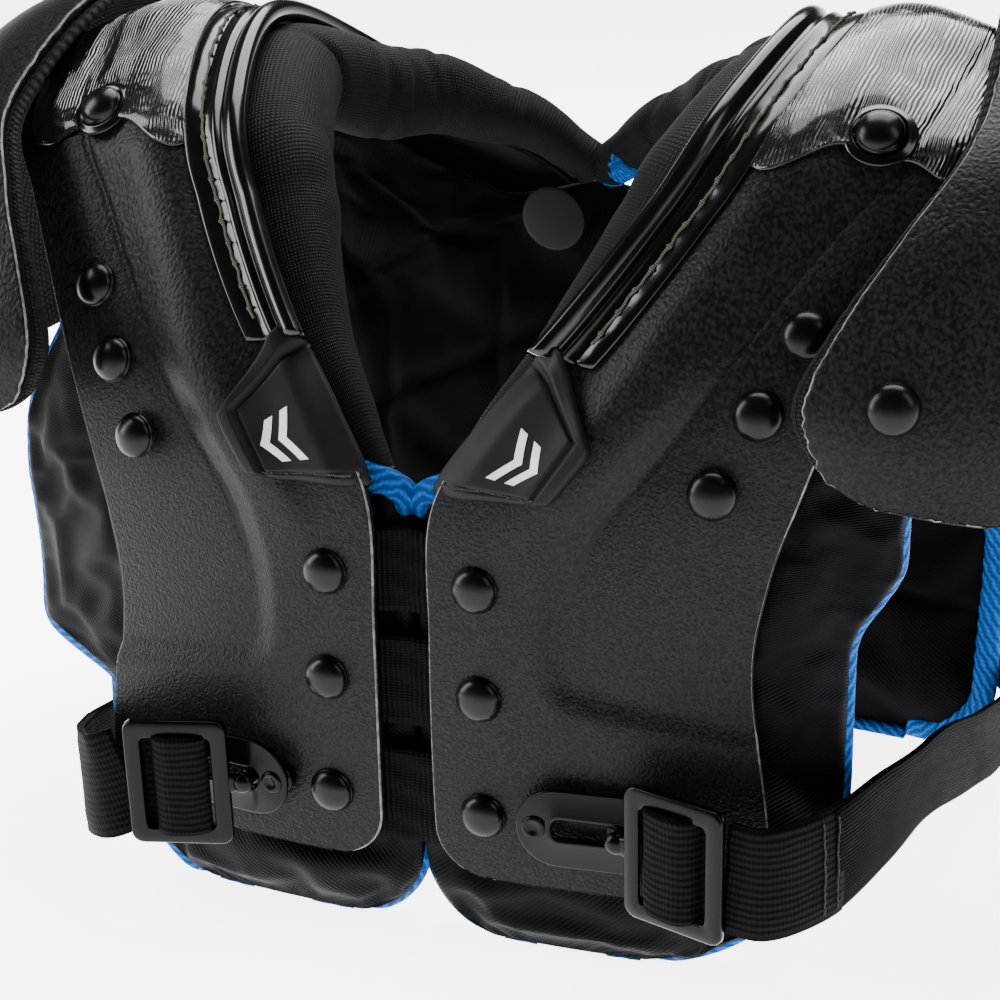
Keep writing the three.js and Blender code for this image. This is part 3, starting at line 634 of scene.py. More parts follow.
def build_arch(word, side):
    stations = dense_ends(FRONT_HEM, BACK_HEM, 0.055, HEM_RADIUS / MM_PER_STATION)

    def span(u):
        inset = hem_inset(u, FRONT_HEM, BACK_HEM, HEM_RADIUS) / arch.width(u)
        return inset, 1 - inset

    top, low, weave = skin_grid(arch, stations, span, np.linspace(0, 1, 84),
                                lambda u, v: ARCH_THICK + relief(u, v), 0.4)
    burr = wave_noise(top, 2.6, 4.0)
    for row in (0, -1):
        top[row] += ((burr[row] > 0.28)[:, None] * (burr[row] - 0.28)[:, None]
                     * np.array([0, -0.4, 1.6 if row else -1.6]))
    obj = plate(f"{word}_arch_shell", top, low, [PLASTIC, CUT_EDGE_HIGHLIGHT, UNDERSIDE], side, 0.5, weave)
    fasten(obj, f"{word}_half", f"{word}_arch")


# ---- rivets --------------------------------------------------------------------------------------
def lathe(name, profile, place, axis, materials, side, turns=40):
    """A turned piece: profile pairs (radius, height), first and last on the axis."""
    axis = unit(np.asarray(axis, float))
    across = unit(np.cross(axis, [0.13, 0.31, 0.94]))
    over = np.cross(axis, across)
    angles = np.linspace(0, 2 * math.pi, turns, endpoint=False)
    points = [place + axis * profile[0][1]]
    for radius, height in profile[1:-1]:
        ring = np.cos(angles)[:, None] * across + np.sin(angles)[:, None] * over
        points.extend(place + ring * radius + axis * height)
    points.append(place + axis * profile[-1][1])
    rings = len(profile) - 2
    faces = []
    for k in range(turns):
        n = (k + 1) % turns
        faces.append((0, 1 + n, 1 + k))
        for r in range(rings - 1):
            faces.append((1 + r * turns + k, 1 + r * turns + n, 1 + (r + 1) * turns + n,
                          1 + (r + 1) * turns + k))
        faces.append((1 + (rings - 1) * turns + k, 1 + (rings - 1) * turns + n, len(points) - 1))
    faces = [tuple(reversed(f)) for f in faces]
    return make_object(name, np.array(points), faces, materials, side)


def dome_profile(seat, tail, head=RIVET_HEAD, rise=3.7):
    """Domed head with a small rolled rim, a shank, and a flat tail."""
    dome = [(head * math.sin(t), seat + 0.35 + rise * math.cos(t))
            for t in np.linspace(0, math.pi / 2, 12)]
    rim = [(head + 0.28, seat + 0.18), (head + 0.2, seat - 0.1), (2.2, seat - 0.1)]
    return [(0, dome[0][1]), *dome[1:], *rim, (2.2, tail), (5.0, tail), (5.0, tail - 1.2),
            (0, tail - 1.2)]


def build_rivet(node, body, surface, place, seat, tail, side):
    u, v = place
    obj = lathe(f"{node}_head", dome_profile(seat, tail), surface.at(u, v), surface.normal(u, v),
                [RIVET], side)
    fasten(obj, body, node)


def washer(name, surface, place, seat, body, side):
    """Ringed washer under a band rivet."""
    u, v = place
    profile = [(0, seat + 0.9), (5.6, seat + 0.9), (6.6, seat + 0.8), (7.1, seat + 1.35),
               (7.6, seat + 1.35), (8.1, seat + 0.75), (8.9, seat + 0.7), (9.4, seat + 0.35),
               (9.5, seat), (0, seat)]
    obj = lathe(name, profile, surface.at(u, v), surface.normal(u, v), [PIPING], side)
    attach(obj, body)


# ---- neck piping, hinge band and tab -------------------------------------------------------------
def build_band(word, side):
    stations = np.linspace(6.62, 9.55, 90)

    def span(u):
        return 14.0 / arch.width(u), 0.9 + 0 * u

    def front(u, v):
        dip = 0.16 * hump(v, 0.5, 0.12) - 0.12 * hump(v, 0.3, 0.1)
        return u + (dip + 0.05 * np.sin(v * 21)) * (1 - smooth(6.6, 7.3, u))

    across = np.linspace(0, 1, 70)
    uu = np.repeat(stations[:, None], len(across), 1)
    a, b = span(stations)
    vv = a[:, None] + (b - a)[:, None] * across[None]
    uu = front(uu, vv)
    wave = (0.55 * np.sin(uu * 7.0 + vv * 5) * smooth(6.9, 7.5, uu)
            + 0.5 * wave_noise(arch.at(uu, vv), 22, 2.0))
    roll = 1.5 * np.exp(-(((uu - 7.75 - 0.5 * (vv - 0.5)) / 0.22) ** 2)) * smooth(0.3, 0.45, vv)
    seat = np.hypot((uu - BAND_RIVET[0]) * 32, (vv - BAND_RIVET[1]) * arch.width(uu))
    wave = (wave + roll) * smooth(7, 13, seat)
    base = ARCH_THICK + relief(uu, vv) + 0.35
    lip = 1 - 0.5 * smooth(0.0, 0.12, 6.75 - uu)
    obj = plate(f"{word}_ribbed_band", arch.at(uu, vv, base + 1.5 * lip + np.maximum(wave, -0.3)),
                arch.at(uu, vv, base), [BAND, PIPING], side, 0.4,
                np.stack([vv * arch.width(uu) + 0.22 * (uu - 7) * 32, uu * 32, 0 * uu], -1))
    fasten(obj, f"{word}_half", f"{word}_hinge_band")
    washer(f"{word}_band_washer", arch, BAND_RIVET, ARCH_THICK + 1.9, f"{word}_half", side)
    build_rivet(f"{word}_band_rivet", f"{word}_half", arch, BAND_RIVET, ARCH_THICK + 3.1, -1.4,
                side)


# Piping section: place across from the neck edge in mm, and height over the plate.
PIPING_SECTION = [(-2.6, 0.3), (-3.3, 1.6), (-3.5, 3.2), (-3.0, 4.8), (-1.8, 6.0), (-0.2, 6.4),
                  (1.4, 5.9), (2.5, 4.7), (3.0, 3.2), (3.6, 2.3), (4.4, 2.5), (5.1, 3.1),
                  (5.9, 3.2), (6.6, 2.6), (7.3, 2.0), (8.6, 1.75), (9.3, 1.45), (10.0, 1.75),
                  (12.5, 1.7), (14.6, 1.6), (15.3, 1.1), (15.4, 0.3)]
PIPING_FIRST = 4.72
PIPING_LAST = 11.7


def piping_stations(step=0.045):
    return np.linspace(PIPING_FIRST, PIPING_LAST, int((PIPING_LAST - PIPING_FIRST) / step))


def build_piping(word, side):
    stations = piping_stations()
    section = np.array(PIPING_SECTION)
    uu = np.repeat(stations[:, None], len(section), 1)
    width = arch.width(stations)[:, None]
    out = section[None, :, 0] * (0.94 + 0.06 * np.sin(uu * 1.3))
    vv = out / width
    lift = ARCH_THICK + relief(uu, np.maximum(vv, 0)) + section[None, :, 1]
    pull = (0.16 * hump(section[None, :, 0], 9.3, 1.2)
            * np.sin(uu * MM_PER_STATION * 0.6 / 7 * 2 * math.pi))
    top = arch.at(uu, vv, lift + pull)
    rows, cols = top.shape[:2]
    faces = bar_faces(rows, cols)
    weave = np.stack([uu * 32, out, 0 * uu], -1).reshape(-1, 3)
    faces = [tuple(reversed(f)) for f in faces]
    obj = make_object(f"{word}_neck_piping", top.reshape(-1, 3), faces, [PIPING], side, weave=weave)
    fasten(obj, f"{word}_half", f"{word}_neck_bead")

    # Sewing along the flange: a run of thread with a knot at each needle hole.
    fine = np.linspace(PIPING_FIRST + 0.2, PIPING_LAST - 0.1, 900)
    v = 9.3 / arch.width(fine)
    line = arch.at(fine, v, ARCH_THICK + relief(fine, v) + 1.75)
    run = run_along(line)
    normal = arch.normal(fine, v)
    sew(f"{word}_neck_stitches", line, run, normal, f"{word}_half", side, 7.0, THREAD, 0.42, 0.95)


def sew(name, line, run, normal, body, side, pitch, thread, thin, knot):
    """Thread along a line, sinking at each stitch hole, with a small fuzzy knot there."""
    count = int(run[-1] / (pitch / 8))
    at = np.linspace(0, run[-1], count)
    centre = np.stack([np.interp(at, run, line[:, k]) for k in range(3)], -1)
    up = unit(np.stack([np.interp(at, run, normal[:, k]) for k in range(3)], -1))
    along = unit(np.gradient(centre, axis=0))
    across = np.cross(along, up)
    phase = (at / pitch) % 1
    knotted = hump(phase, 0.5, 0.09)
    wobble = wave_noise(centre, 3.0, 5.0)
    radius = thin + (knot - thin) * knotted * (0.75 + 0.5 * wobble)
    centre = centre + across * (wobble * 0.5)[:, None] + up * (0.12 + 0.25 * knotted)[:, None]
    shape = ring_shape(count, 8, radius, radius * 0.8)
    obj = tube(name, centre, across, up, shape, [thread], side)
    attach(obj, body)
    return obj


def tab_point(s, t):
    """Tab's (u, v) at s across (0 at the neck) and t up (0 at the bottom edge)."""
    low = (TAB[0][0] + (TAB[1][0] - TAB[0][0]) * s, TAB[0][1] + (TAB[1][1] - TAB[0][1]) * s)
    high = (TAB[3][0] + (TAB[2][0] - TAB[3][0]) * s, TAB[3][1] + (TAB[2][1] - TAB[3][1]) * s)
    return low[0] + (high[0] - low[0]) * t, low[1] + (high[1] - low[1]) * t


def build_tab(word, side):
    n = 72
    s, t = np.meshgrid(np.linspace(0, 1, n), np.linspace(0, 1, n), indexing="xy")
    # Ease the corners: pull the grid's corners in so that they come out rounded.
    ease = 0.055
    cs, ct = 2 * s - 1, 2 * t - 1
    s2 = 0.5 + 0.5 * cs * (1 - ease * np.abs(ct) ** 10)
    t2 = 0.5 + 0.5 * ct * (1 - ease * np.abs(cs) ** 10)
    u, v = tab_point(s2, t2)
    wide = np.linalg.norm(arch.at(*tab_point(1, 0.5)) - arch.at(*tab_point(0, 0.5)))
    tall = np.linalg.norm(arch.at(*tab_point(0.5, 1)) - arch.at(*tab_point(0.5, 0)))
    outer, upper = (1 - s) * wide, (1 - t) * tall
    lower, inner = t * tall, s * wide
    rim = np.minimum(outer, upper)
    height = 2.6 + 0.9 * (1 - smooth(3.6, 4.3, rim)) - 1.2 * hump(rim, 4.9, 0.55)
    height -= 0.8 * hump(lower, 3.0, 0.5) * smooth(3, 8, outer) * smooth(0, 4, upper)
    height *= 0.55 + 0.45 * smooth(0, 3.0, lower)
    height *= 0.5 + 0.5 * smooth(0, 7.0, inner)
    soft = np.minimum.reduce([outer, upper, lower, inner])
    height -= 1.0 * (1 - np.sqrt(np.clip(1 - (1 - np.clip(soft / 1.2, 0, 1)) ** 2, 0, 1)))
    tuck = (1 - smooth(0, 8, inner)) * 2.2
    base = ARCH_THICK + np.maximum(relief(u, np.maximum(v, 0)), 0) + 0.3
    over = smooth(4.55, 4.95, u) * 3.8 * (1 - smooth(0.1, 0.24, v))
    top = arch.at(u, v - tuck / 90, base + over + height - tuck)
    low = arch.at(u, v - tuck / 90, base + over - 0.1 - tuck)
    obj = plate(f"{word}_neck_tab_moulding", top, low, [TAB_RUBBER], side, 0.35)
    fasten(obj, f"{word}_half", f"{word}_neck_tab")

    # A plain double chevron printed on the tab.
    def on_tab(s_, t_, lift):
        uu, vv = tab_point(s_, t_)
        return arch.at(uu, vv, ARCH_THICK + np.maximum(relief(uu, vv), 0) + 2.9 + lift)

    points, faces = [], []
    for shift in (0.0, 0.17):
        strip = []
        for a in np.linspace(-1, 1, 21):
            for b in (0, 1):
                strip.append(on_tab(0.36 + shift + 0.12 * (1 - abs(a)) + 0.085 * b, 0.40 + 0.2 * a,
                                    0.16))
        base_index = len(points)
        points.extend(strip)
        points.extend([p - unit(arch.normal(3.9, 0.2)) * 0.35 for p in strip])
        m = len(strip)
        for i in range(20):
            q = base_index + 2 * i
            faces.append((q, q + 1, q + 3, q + 2))
            faces.append((m + q + 2, m + q + 3, m + q + 1, m + q))
            faces.append((q + 2, m + q + 2, m + q, q))
            faces.append((q + 1, m + q + 1, m + q + 3, q + 3))
        last = base_index + m - 2
        faces.append((base_index, m + base_index, m + base_index + 1, base_index + 1))
        faces.append((last + 1, m + last + 1, m + last, last))
    mark = make_object(f"{word}_tab_chevron", np.array(points), [tuple(reversed(f)) for f in faces],
                       [MARK], side, flat=True)
    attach(mark, f"{word}_half")
    ss = np.linspace(0.04, 0.93, 160)
    uu, vv = tab_point(ss, np.full_like(ss, 3.0 / tall))
    line = arch.at(uu, vv, ARCH_THICK + np.maximum(relief(uu, vv), 0) + 2.1)
    run = run_along(line)
    sew(f"{word}_tab_stitches", line, run, arch.normal(uu, vv), f"{word}_half", side, 4.2,
        DARK_THREAD, 0.3, 0.5)


# ---- flap and cap --------------------------------------------------------------------------------
FLAP_CORNER = 17.0
FLAP_WIDE = 55.0


def build_flap(word, side):
    stations = dense_ends(0, flap.last, 0.06, FLAP_CORNER / MM_PER_STATION)

    def span(u):
        inset = hem_inset(u, 0, flap.last, FLAP_CORNER) * 0.8 / FLAP_WIDE
        return inset, 1 - inset

    def wide_span(u):
        a, b = span(u)
        return a - 0.06, b + 0.05

    top, low, weave = skin_grid(flap, stations, span, np.linspace(0, 1, 44),
                                PLATE_THICK, 0.0)
    burr = wave_noise(top, 1.7, 8.0)[..., None]
    rim = np.zeros(top.shape[:2])
    rim[0] = rim[-1] = 1
    rim[:, 0] = rim[:, -1] = 1
    top = top + rim[..., None] * burr * 0.7
    plate_obj = plate(f"{word}_epaulette_shell", top, low, [PLASTIC, CUT_EDGE_HIGHLIGHT, UNDERSIDE], side, 0.5,
                      weave)
    longer = stations.copy()
    longer[0], longer[-1] = 0, flap.last
    top, low, weave = skin_grid(flap, longer, wide_span, np.linspace(0, 1, 44),
                                lambda u, v: -0.45 + 0.25 * np.sin(u * 31) * np.sin(v * 40), -2.6)
    shift = flap.at(0.3, 0.5) - flap.at(0, 0.5)
    top[0] -= shift * 0.22
    low[0] -= shift * 0.22
    backing = plate(f"{word}_epaulette_backing", top, low, [FLAP_WEAVE], side, 0.9, weave)
    for obj, node, name in ((plate_obj, "epaulette", "shell_plastic"),
                            (backing, "epaulette_lining", "flap_fabric")):
        fasten(obj, f"{word}_flap", f"{word}_{node}")
    build_rivet(f"{word}_epaulette_rivet", f"{word}_flap", flap, FLAP_RIVET, PLATE_THICK + 0.4,
                -4.2, side)


def build_cap(word, side):
    stations = np.linspace(0, cap.last, 60)

    def span(u):
        inset = 0.12 * (np.abs(u - 2) / 2) ** 4
        return inset * 0.3, 1 - inset

    def lining_span(u):
        a, b = span(u)
        return a + 0.16, b + 0.02

    across = np.linspace(0, 1, 60)
    for name, spans, high, low_lift, mats, node, slot in (
        ("cap_shell", span, PLATE_THICK, 0.0, [PLASTIC, CUT_EDGE_HIGHLIGHT, UNDERSIDE],
         "shoulder_cap", "shell_plastic"),
        ("cap_backing", lining_span, -0.5, -2.9, [FLAP_WEAVE], "cap_lining", "flap_fabric"),
    ):
        top, low, weave = skin_grid(cap, stations, spans, across, high, low_lift)
        obj = plate(f"{word}_{name}", top, low, mats, side, 0.5, weave)
        fasten(obj, f"{word}_cap", f"{word}_{node}")


def build_cantilever(word, side):
    stations = np.linspace(3.5, 12.5, 120)
    top, low, weave = skin_grid(arch, stations, lambda u: (0.66 + 0 * u, 0.88 + 0 * u),
                                np.linspace(0, 1, 10), -0.7, -2.3)
    obj = plate(f"{word}_cantilever_strip", top, low, [UNDERSIDE, CUT_EDGE_HIGHLIGHT], side, 0.4, weave)
    fasten(obj, f"{word}_half", f"{word}_cantilever")


# ---- pads ----------------------------------------------------------------------------------------
FRONT_PAD = {"reach": 119, "corner": 60, "neck_gap": 8, "tuck": 18, "flare": 20}
BACK_PAD = {"reach": 138, "waist": 5, "corner": 30, "neck_gap": 14}
PAD_PAST_ARM = 9
PAD_WIDEST = 152
PAD_CENTRE = -0.5


def corner(rise, wide, tall):
    share = np.clip(1 - rise / tall, 0, 1)
    return wide * (1 - np.sqrt(1 - share**2))


def pad_span(side, front, u):
    rise = (u if front else LAST - u) * MM_PER_STATION
    neck, arm = arch.ends(u)
    shape = FRONT_PAD if front else BACK_PAD
    above = smooth(1.12, 1.55, u)
    flare = FRONT_PAD["flare"] * above * (1 - smooth(4.2, 5.4, u)) if front else 0.0
    tuck = FRONT_PAD["tuck"] * (1 - above) - flare if front and side < 0 else 0.0
    if front and side > 0:
        tuck = -12.0 * smooth(2.2, 3.6, u) * (1 - smooth(5.0, 6.0, u))
    waist = 0.0 if front else BACK_PAD["waist"] * (1 - smooth(11, 12.8, u))
    reach = np.clip(np.maximum(shape["reach"] - tuck - waist, arm[..., 0] + PAD_PAST_ARM), 0,
                    PAD_WIDEST)
    outer = reach - corner(rise, shape["corner"] - tuck, shape["corner"])
    centre = (PAD_CENTRE if front else PAD_CENTRE - 0.8) + corner(rise, 24, 26)
    opened = smooth(3.0, 3.65, u) if front else 1 - smooth(11.0, 11.7, u)
    inner = centre + opened * (neck[..., 0] + shape["neck_gap"] - centre)
    across = arm[..., 0] - neck[..., 0]
    return (inner - neck[..., 0]) / across, (outer - neck[..., 0]) / across


def pad_point(side, front, u, s, lift):
    a, b = pad_span(side, front, u)
    point = arch.at(u, a + (b - a) * s, lift)
    point[..., 2] = np.maximum(point[..., 2], 0.2)
    return point


def quilt_lines(front, uu, ss):
    """1 on the sewn channels, fading within a few millimetres."""
    lines = np.zeros_like(uu)
    for s in ((0.36, 0.7) if front else (0.3, 0.62)):
        lines = np.maximum(lines, np.exp(-(((ss - s) * 110 / 2.0) ** 2)))
    for u in ((1.55, 3.6, 5.6) if front else (9.6, 11.2, 12.5, 13.7)):
        lines = np.maximum(lines, np.exp(-(((uu - u) * 40 / 2.0) ** 2)))
    return lines


def cloth_puff(obj, pinned):
    """Blow the piece up as sewn cloth: pinned points stay, the others move up to PUFF_REACH."""
    mesh = obj.data
    rest = np.empty(len(mesh.vertices) * 3)
    mesh.vertices.foreach_get("co", rest)
    rest = rest.reshape(-1, 3)
    group = obj.vertex_groups.new(name="sewn")
    for i in np.nonzero(pinned > 0.02)[0]:
        group.add([int(i)], float(min(pinned[i], 1)), "REPLACE")
    cloth = obj.modifiers.new("cloth", "CLOTH")
    settings = cloth.settings
    settings.quality = 4
    settings.mass = 0.15
    settings.tension_stiffness = settings.compression_stiffness = 12
    settings.shear_stiffness = 4
    settings.bending_stiffness = 0.15
    settings.vertex_group_mass = "sewn"
    settings.pin_stiffness = 1.0
    settings.shrink_min = -PUFF_SLACK
    settings.use_pressure = True
    settings.uniform_pressure_force = PUFF_PRESSURE
    settings.effector_weights.gravity = 0
    cloth.collision_settings.use_collision = False
    cloth.point_cache.frame_start = 1
    cloth.point_cache.frame_end = PUFF_FRAMES
    scene = bpy.context.scene
    for frame_number in range(1, PUFF_FRAMES + 1):
        scene.frame_set(frame_number)
    graph = bpy.context.evaluated_depsgraph_get()
    moved_mesh = obj.evaluated_get(graph).data
    moved = np.empty(len(moved_mesh.vertices) * 3)
    moved_mesh.vertices.foreach_get("co", moved)
    step = moved.reshape(-1, 3) - rest
    obj.modifiers.remove(cloth)
    scene.frame_set(1)
    far = np.linalg.norm(step, axis=1, keepdims=True)
    limit = PUFF_REACH / 1000
    step *= np.where(far > 1e-9, limit * np.tanh(far / limit) / np.maximum(far, 1e-9), 0)
    placed = rest + step
    placed[:, 2] = np.maximum(placed[:, 2], FLOOR_GAP / 1000)
    mesh.vertices.foreach_set("co", placed.ravel())
    mesh.update()


def build_pad(word, side, front):
    last_row = 7.7 if front else 7.9
    n = 84 if front else 76
    ease = 1 - np.cos(np.linspace(0, math.pi / 2, 12))
    near = 0.5 * ease
    rest = np.linspace(0.5, last_row if front else LAST - last_row, n - 12)[1:]
    rise = np.concatenate([near, rest])
    stations = rise if front else LAST - rise[::-1]
    across = np.concatenate([[0], np.linspace(0.025, 0.975, 30), [1]])
    uu, ss = np.meshgrid(stations, across, indexing="ij")
    climb = (uu if front else LAST - uu)
    edge = np.minimum(ss, 1 - ss)
    fill = smooth(0.05, 0.45, climb) * smooth(0.02, 0.16, edge)
    end = np.minimum(climb, np.abs(uu - last_row) + 0.1)
    hem_bulge = (2.6 * smooth(0.03, 0.2, climb) * (1 - smooth(0.35, 0.55, climb))
                 * smooth(0.03, 0.12, edge))
    top = pad_point(side, front, uu, ss, -5.6 - 0.9 * (1 - smooth(0.0, 0.12, end)) + hem_bulge)
    quilt = quilt_lines(front, uu, ss)
    low = pad_point(side, front, uu, ss, -9.2 - 6.0 * fill * (1 - 0.55 * quilt))
    a, b = pad_span(side, front, uu)
    weave = np.stack([(a + (b - a) * ss) * arch.width(uu), uu * 40, 0 * uu], -1)
    obj = plate(f"{word}_{'chest' if front else 'back'}_cushion", top, low, [NYLON, NYLON, LINING],
                side, 1.4, weave)
    rows, cols = uu.shape
    pinned = np.zeros(len(obj.data.vertices))
    rim = (1 - smooth(0.0, 0.055, edge)) + (1 - smooth(0.02, 0.14, end))
    hold = np.clip(np.maximum(rim, quilt), 0, 1)
    outer_hold = np.clip(np.maximum(rim, 0.9 * quilt * (a + (b - a) * ss > 0.9)), 0, 1)
    covered = (a + (b - a) * ss < 0.97) & (uu > FRONT_HEM) & (uu < BACK_HEM)
    outer_hold = np.maximum(outer_hold, 0.35 * covered)
    pinned[: rows * cols] = outer_hold.ravel()
    pinned[rows * cols : 2 * rows * cols] = hold.ravel()
    pinned[2 * rows * cols :] = 1
    cloth_puff(obj, pinned)
    subdivided(obj)
    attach(obj, f"{word}_half")
    kind = "chest" if front else "back"
    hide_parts(f"{word}_{kind}_pad")


def resample(line, step):
    run = run_along(line)
    at = np.linspace(0, run[-1], max(int(run[-1] / step), 2))
    return np.stack([np.interp(at, run, line[:, k]) for k in range(line.shape[1])], -1), at


def smoothed(values, times):
    for _ in range(times):
        values[1:-1] = 0.5 * values[1:-1] + 0.25 * (values[:-2] + values[2:])
    return values


def build_binding(word, side, front):
    """Tape folded round the pad's edge: down the neck side, along the hem and up the arm side."""
    top_inner = 3.75 if front else 9.8
    top_outer = 7.6 if front else 8.0
    hem = 0.03 if front else LAST - 0.03
    down = top_inner + (hem - top_inner) * np.sin(np.linspace(0, math.pi / 2, 90))
    up = hem + (top_outer - hem) * (1 - np.cos(np.linspace(0, math.pi / 2, 120)))
    sweep = np.linspace(0, 1, 40)[1:-1]
    u = np.concatenate([down, np.full(38, hem), up])
    s = np.concatenate([np.zeros(90), sweep, np.ones(120)])
    at_neck = 1 - smooth(0.0, 0.03, s)
    if front:
        hidden = at_neck * smooth(0.45, 0.8, u) * (1 - smooth(2.6, 2.95, u))
        lift = -9.7 - 2.2 * hidden + 2.1 * at_neck * smooth(2.6, 3.0, u)
    else:
        hidden = at_neck
        lift = -9.4 + 4.6 * hidden
    outer_left = smooth(0.97, 1.0, s) * (2.2 if front and side < 0 else 0.6)
    tuck_in = 4.5 * hidden - outer_left
    deep = smooth(0.97, 1.0, s) * smooth(1.6, 3.4,
                                         u) * (1 - smooth(5.5, 6.5, u)) * (3.6 if front else 0.0)
    centre = pad_point(side, front, u, s, lift)
    inside = pad_point(side, front, u, 0.5 + (s - 0.5) * 0.9, lift)
    lifted = pad_point(side, front, u, s, lift + 1)
    joined, _ = resample(np.hstack([centre, inside, lifted, tuck_in[:, None], deep[:, None],
                                    hidden[:, None]]), 2.0)
    joined = smoothed(joined, 6)
    centre, up_dir = joined[:, :3], unit(joined[:, 6:9] - joined[:, :3])
    along = unit(np.gradient(centre, axis=0))
    up_dir = unit(up_dir - along * np.sum(up_dir * along, axis=1, keepdims=True))
    across = np.cross(along, up_dir)
    inward = joined[:, 3:6] - centre
    across *= np.sign(np.sum(across * inward, axis=1, keepdims=True))
    run = run_along(centre)
    pucker = 0.32 * np.sin(run / 5.5 * 2 * math.pi) + 0.35 * wave_noise(centre, 9, 3.0)
    wave = 0.9 * wave_noise(centre, 26, 6.0)
    centre = (centre + across * (2.7 + 0.4 * pucker + joined[:, 9])[:, None]
              + up_dir * wave[:, None] * 0.5)
    slim = 1 - 0.4 * joined[:, 11] if not front else 1.0
    tall = (3.1 + joined[:, 10] + 0.3 * pucker) * slim
    centre = centre - up_dir * joined[:, 10:11]
    shape = ring_shape(len(centre), 20, 4.0 + 0.3 * pucker, tall, power=2.6)
    kind = "chest" if front else "back"
    obj = tube(f"{word}_{kind}_tape", centre, across, up_dir, shape, [BLUE], side)
    fasten(obj, f"{word}_half", f"{word}_{kind}_binding")


def build_end_tape():
    """The sleeve of tape that closes the back end of the wearer's-left collar roll."""
    line, run = resample(centripetal([(0.5, 78, 190), (4, 76.5, 192), (8, 74.5, 194.5),
                                      (12, 72, 197)], 12), 0.8)
    along = unit(np.gradient(line, axis=0))
    up = unit(np.cross(along, [0.2, 1.0, 0.1]))
    across = np.cross(along, up)
    girth = (7.0 - 2.5 * np.exp(-run / 0.9) - 1.2 * np.exp(-(run[-1] - run) / 0.8)
             + 0.25 * np.sin(run * 2.1))
    obj = tube("left_collar_end_tape", line, across, up, ring_shape(len(line), 28, girth, girth),
               [BLUE])
    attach(obj, "left_half")


# ---- collar roll ---------------------------------------------------------------------------------
def roll_rise(u):
    return smooth(V_FRONT - 0.6, 7.5, u) * (1 - 0.75 * smooth(8.6, V_BACK, u))


def build_collar(word, side):
    stations = np.linspace(V_FRONT - 0.1, V_BACK + 0.3, 230)
    neck, arm = arch.ends(stations)
    radius = 3 + 12 * roll_rise(stations)
    outward = unit(arm - neck)
    normal = arch.normal(stations, 0 * stations)
    depth = radius + 2 + 5 * (1 - roll_rise(stations))
    inward = radius - 3 + 7 * smooth(7.9, 9, stations)
    centre = neck - outward * inward[:, None] - normal * depth[:, None]
    centre[:, 0] -= 3 * smooth(10.8, V_BACK, stations)
    centre[:, 2] += 15 * smooth(8.7, 10.1, stations) * (1 - 0.45 * smooth(10.3, V_BACK, stations))
    along = unit(np.gradient(centre, axis=0))
    up = unit(normal - along * np.sum(normal * along, axis=1, keepdims=True))
    across = np.cross(along, up)
    across *= np.sign(np.sum(across * outward, axis=1, keepdims=True))
    sides = 64
    shape = ring_shape(len(stations), sides, radius + 0.6, radius + 0.4, power=2.3)
    points = centre[:, None] + across[:, None] * shape[..., :1] + up[:, None] * shape[..., 1:2]
    # Soft creases where the roll turns over the shoulder, and slack folds along it.
    run = run_along(centre)
    angle = np.linspace(0, 2 * math.pi, sides, endpoint=False)
    fold = 0.0
    for place, depth_mm, wide, turn in ((6.4, 0.8, 5.0, 3.3), (8.15, 2.2, 2.2, 3.4),
                                        (8.8, 1.3, 2.2, 2.8), (9.5, 0.9, 2.0, 3.2),
                                        (9.75, 0.8, 1.6, 2.6), (10.5, 1.0, 2.2, 3.3)):
        at = np.interp(place, stations, run)
        lean = at + 5 * np.sin(angle[None] * 1.0 + turn)
        fold = fold - depth_mm * np.exp(-(((run[:, None] - lean) / wide) ** 2)) * (
            0.35 + 0.65 * smooth(-0.4, 0.8, np.cos(angle[None] - turn)))
    puff = 0.9 * wave_noise(points, 44, 1.0 + side) + 0.12 * wave_noise(points, 11, 2.0)
    limit = np.minimum(radius / 8, 1)[:, None]
    radial = unit(points - centre[:, None])
    points = points + radial * ((fold + puff) * limit)[..., None]
    turn_length = 2 * math.pi * radius.max() / sides
    weave = np.stack([np.repeat(run[:, None], sides, 1),
                      np.repeat((np.arange(sides) * turn_length)[None], len(stations), 0),
                      0 * points[..., 0]], -1)
    faces = bar_faces(len(stations), sides)
    obj = make_object(f"{word}_collar_cushion", points.reshape(-1, 3), faces, [COLLAR], side,
                      weave=weave.reshape(-1, 3))
    fasten(obj, f"{word}_half", f"{word}_collar_roll")


def outward_fix(obj):
    """Turn the faces of a closed piece outwards."""
    work = bmesh.new()
    work.from_mesh(obj.data)
    bmesh.ops.recalc_face_normals(work, faces=work.faces)
    work.to_mesh(obj.data)
    work.free()


# ---- elastic straps ------------------------------------------------------------------------------
ELASTIC_REACH = 36.0


def build_elastic(node, station, half):
    x = np.linspace(-ELASTIC_REACH, ELASTIC_REACH, 90)
    across = np.linspace(-1, 1, 22)
    xx, hh = np.meshgrid(x, across, indexing="ij")
    uu = station + half * hh
    neck, arm = arch.ends(uu)
    v = (np.abs(xx) - neck[..., 0]) / (arm[..., 0] - neck[..., 0])
    free = 1 - smooth(4, 12, np.abs(xx))
    sag = 0.5 * free * np.sin(hh * 9 + xx * 0.21)
    rib = 0.22 * np.cos(xx * 2 * math.pi / 1.9)
    top = arch.at(uu, v, -0.45 + sag * 0.5 + rib)
    low = arch.at(uu, v, -2.3 + sag * 0.5)
    for grid in (top, low):
        grid[..., 0] = np.sign(xx) * np.abs(grid[..., 0])
    weave = np.stack([xx, hh * half * MM_PER_STATION, 0 * xx], -1)
    obj = plate(f"{node}_webbing", top, low, [ELASTIC], 1, 0.6, weave)
    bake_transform(obj)
    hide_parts(node)


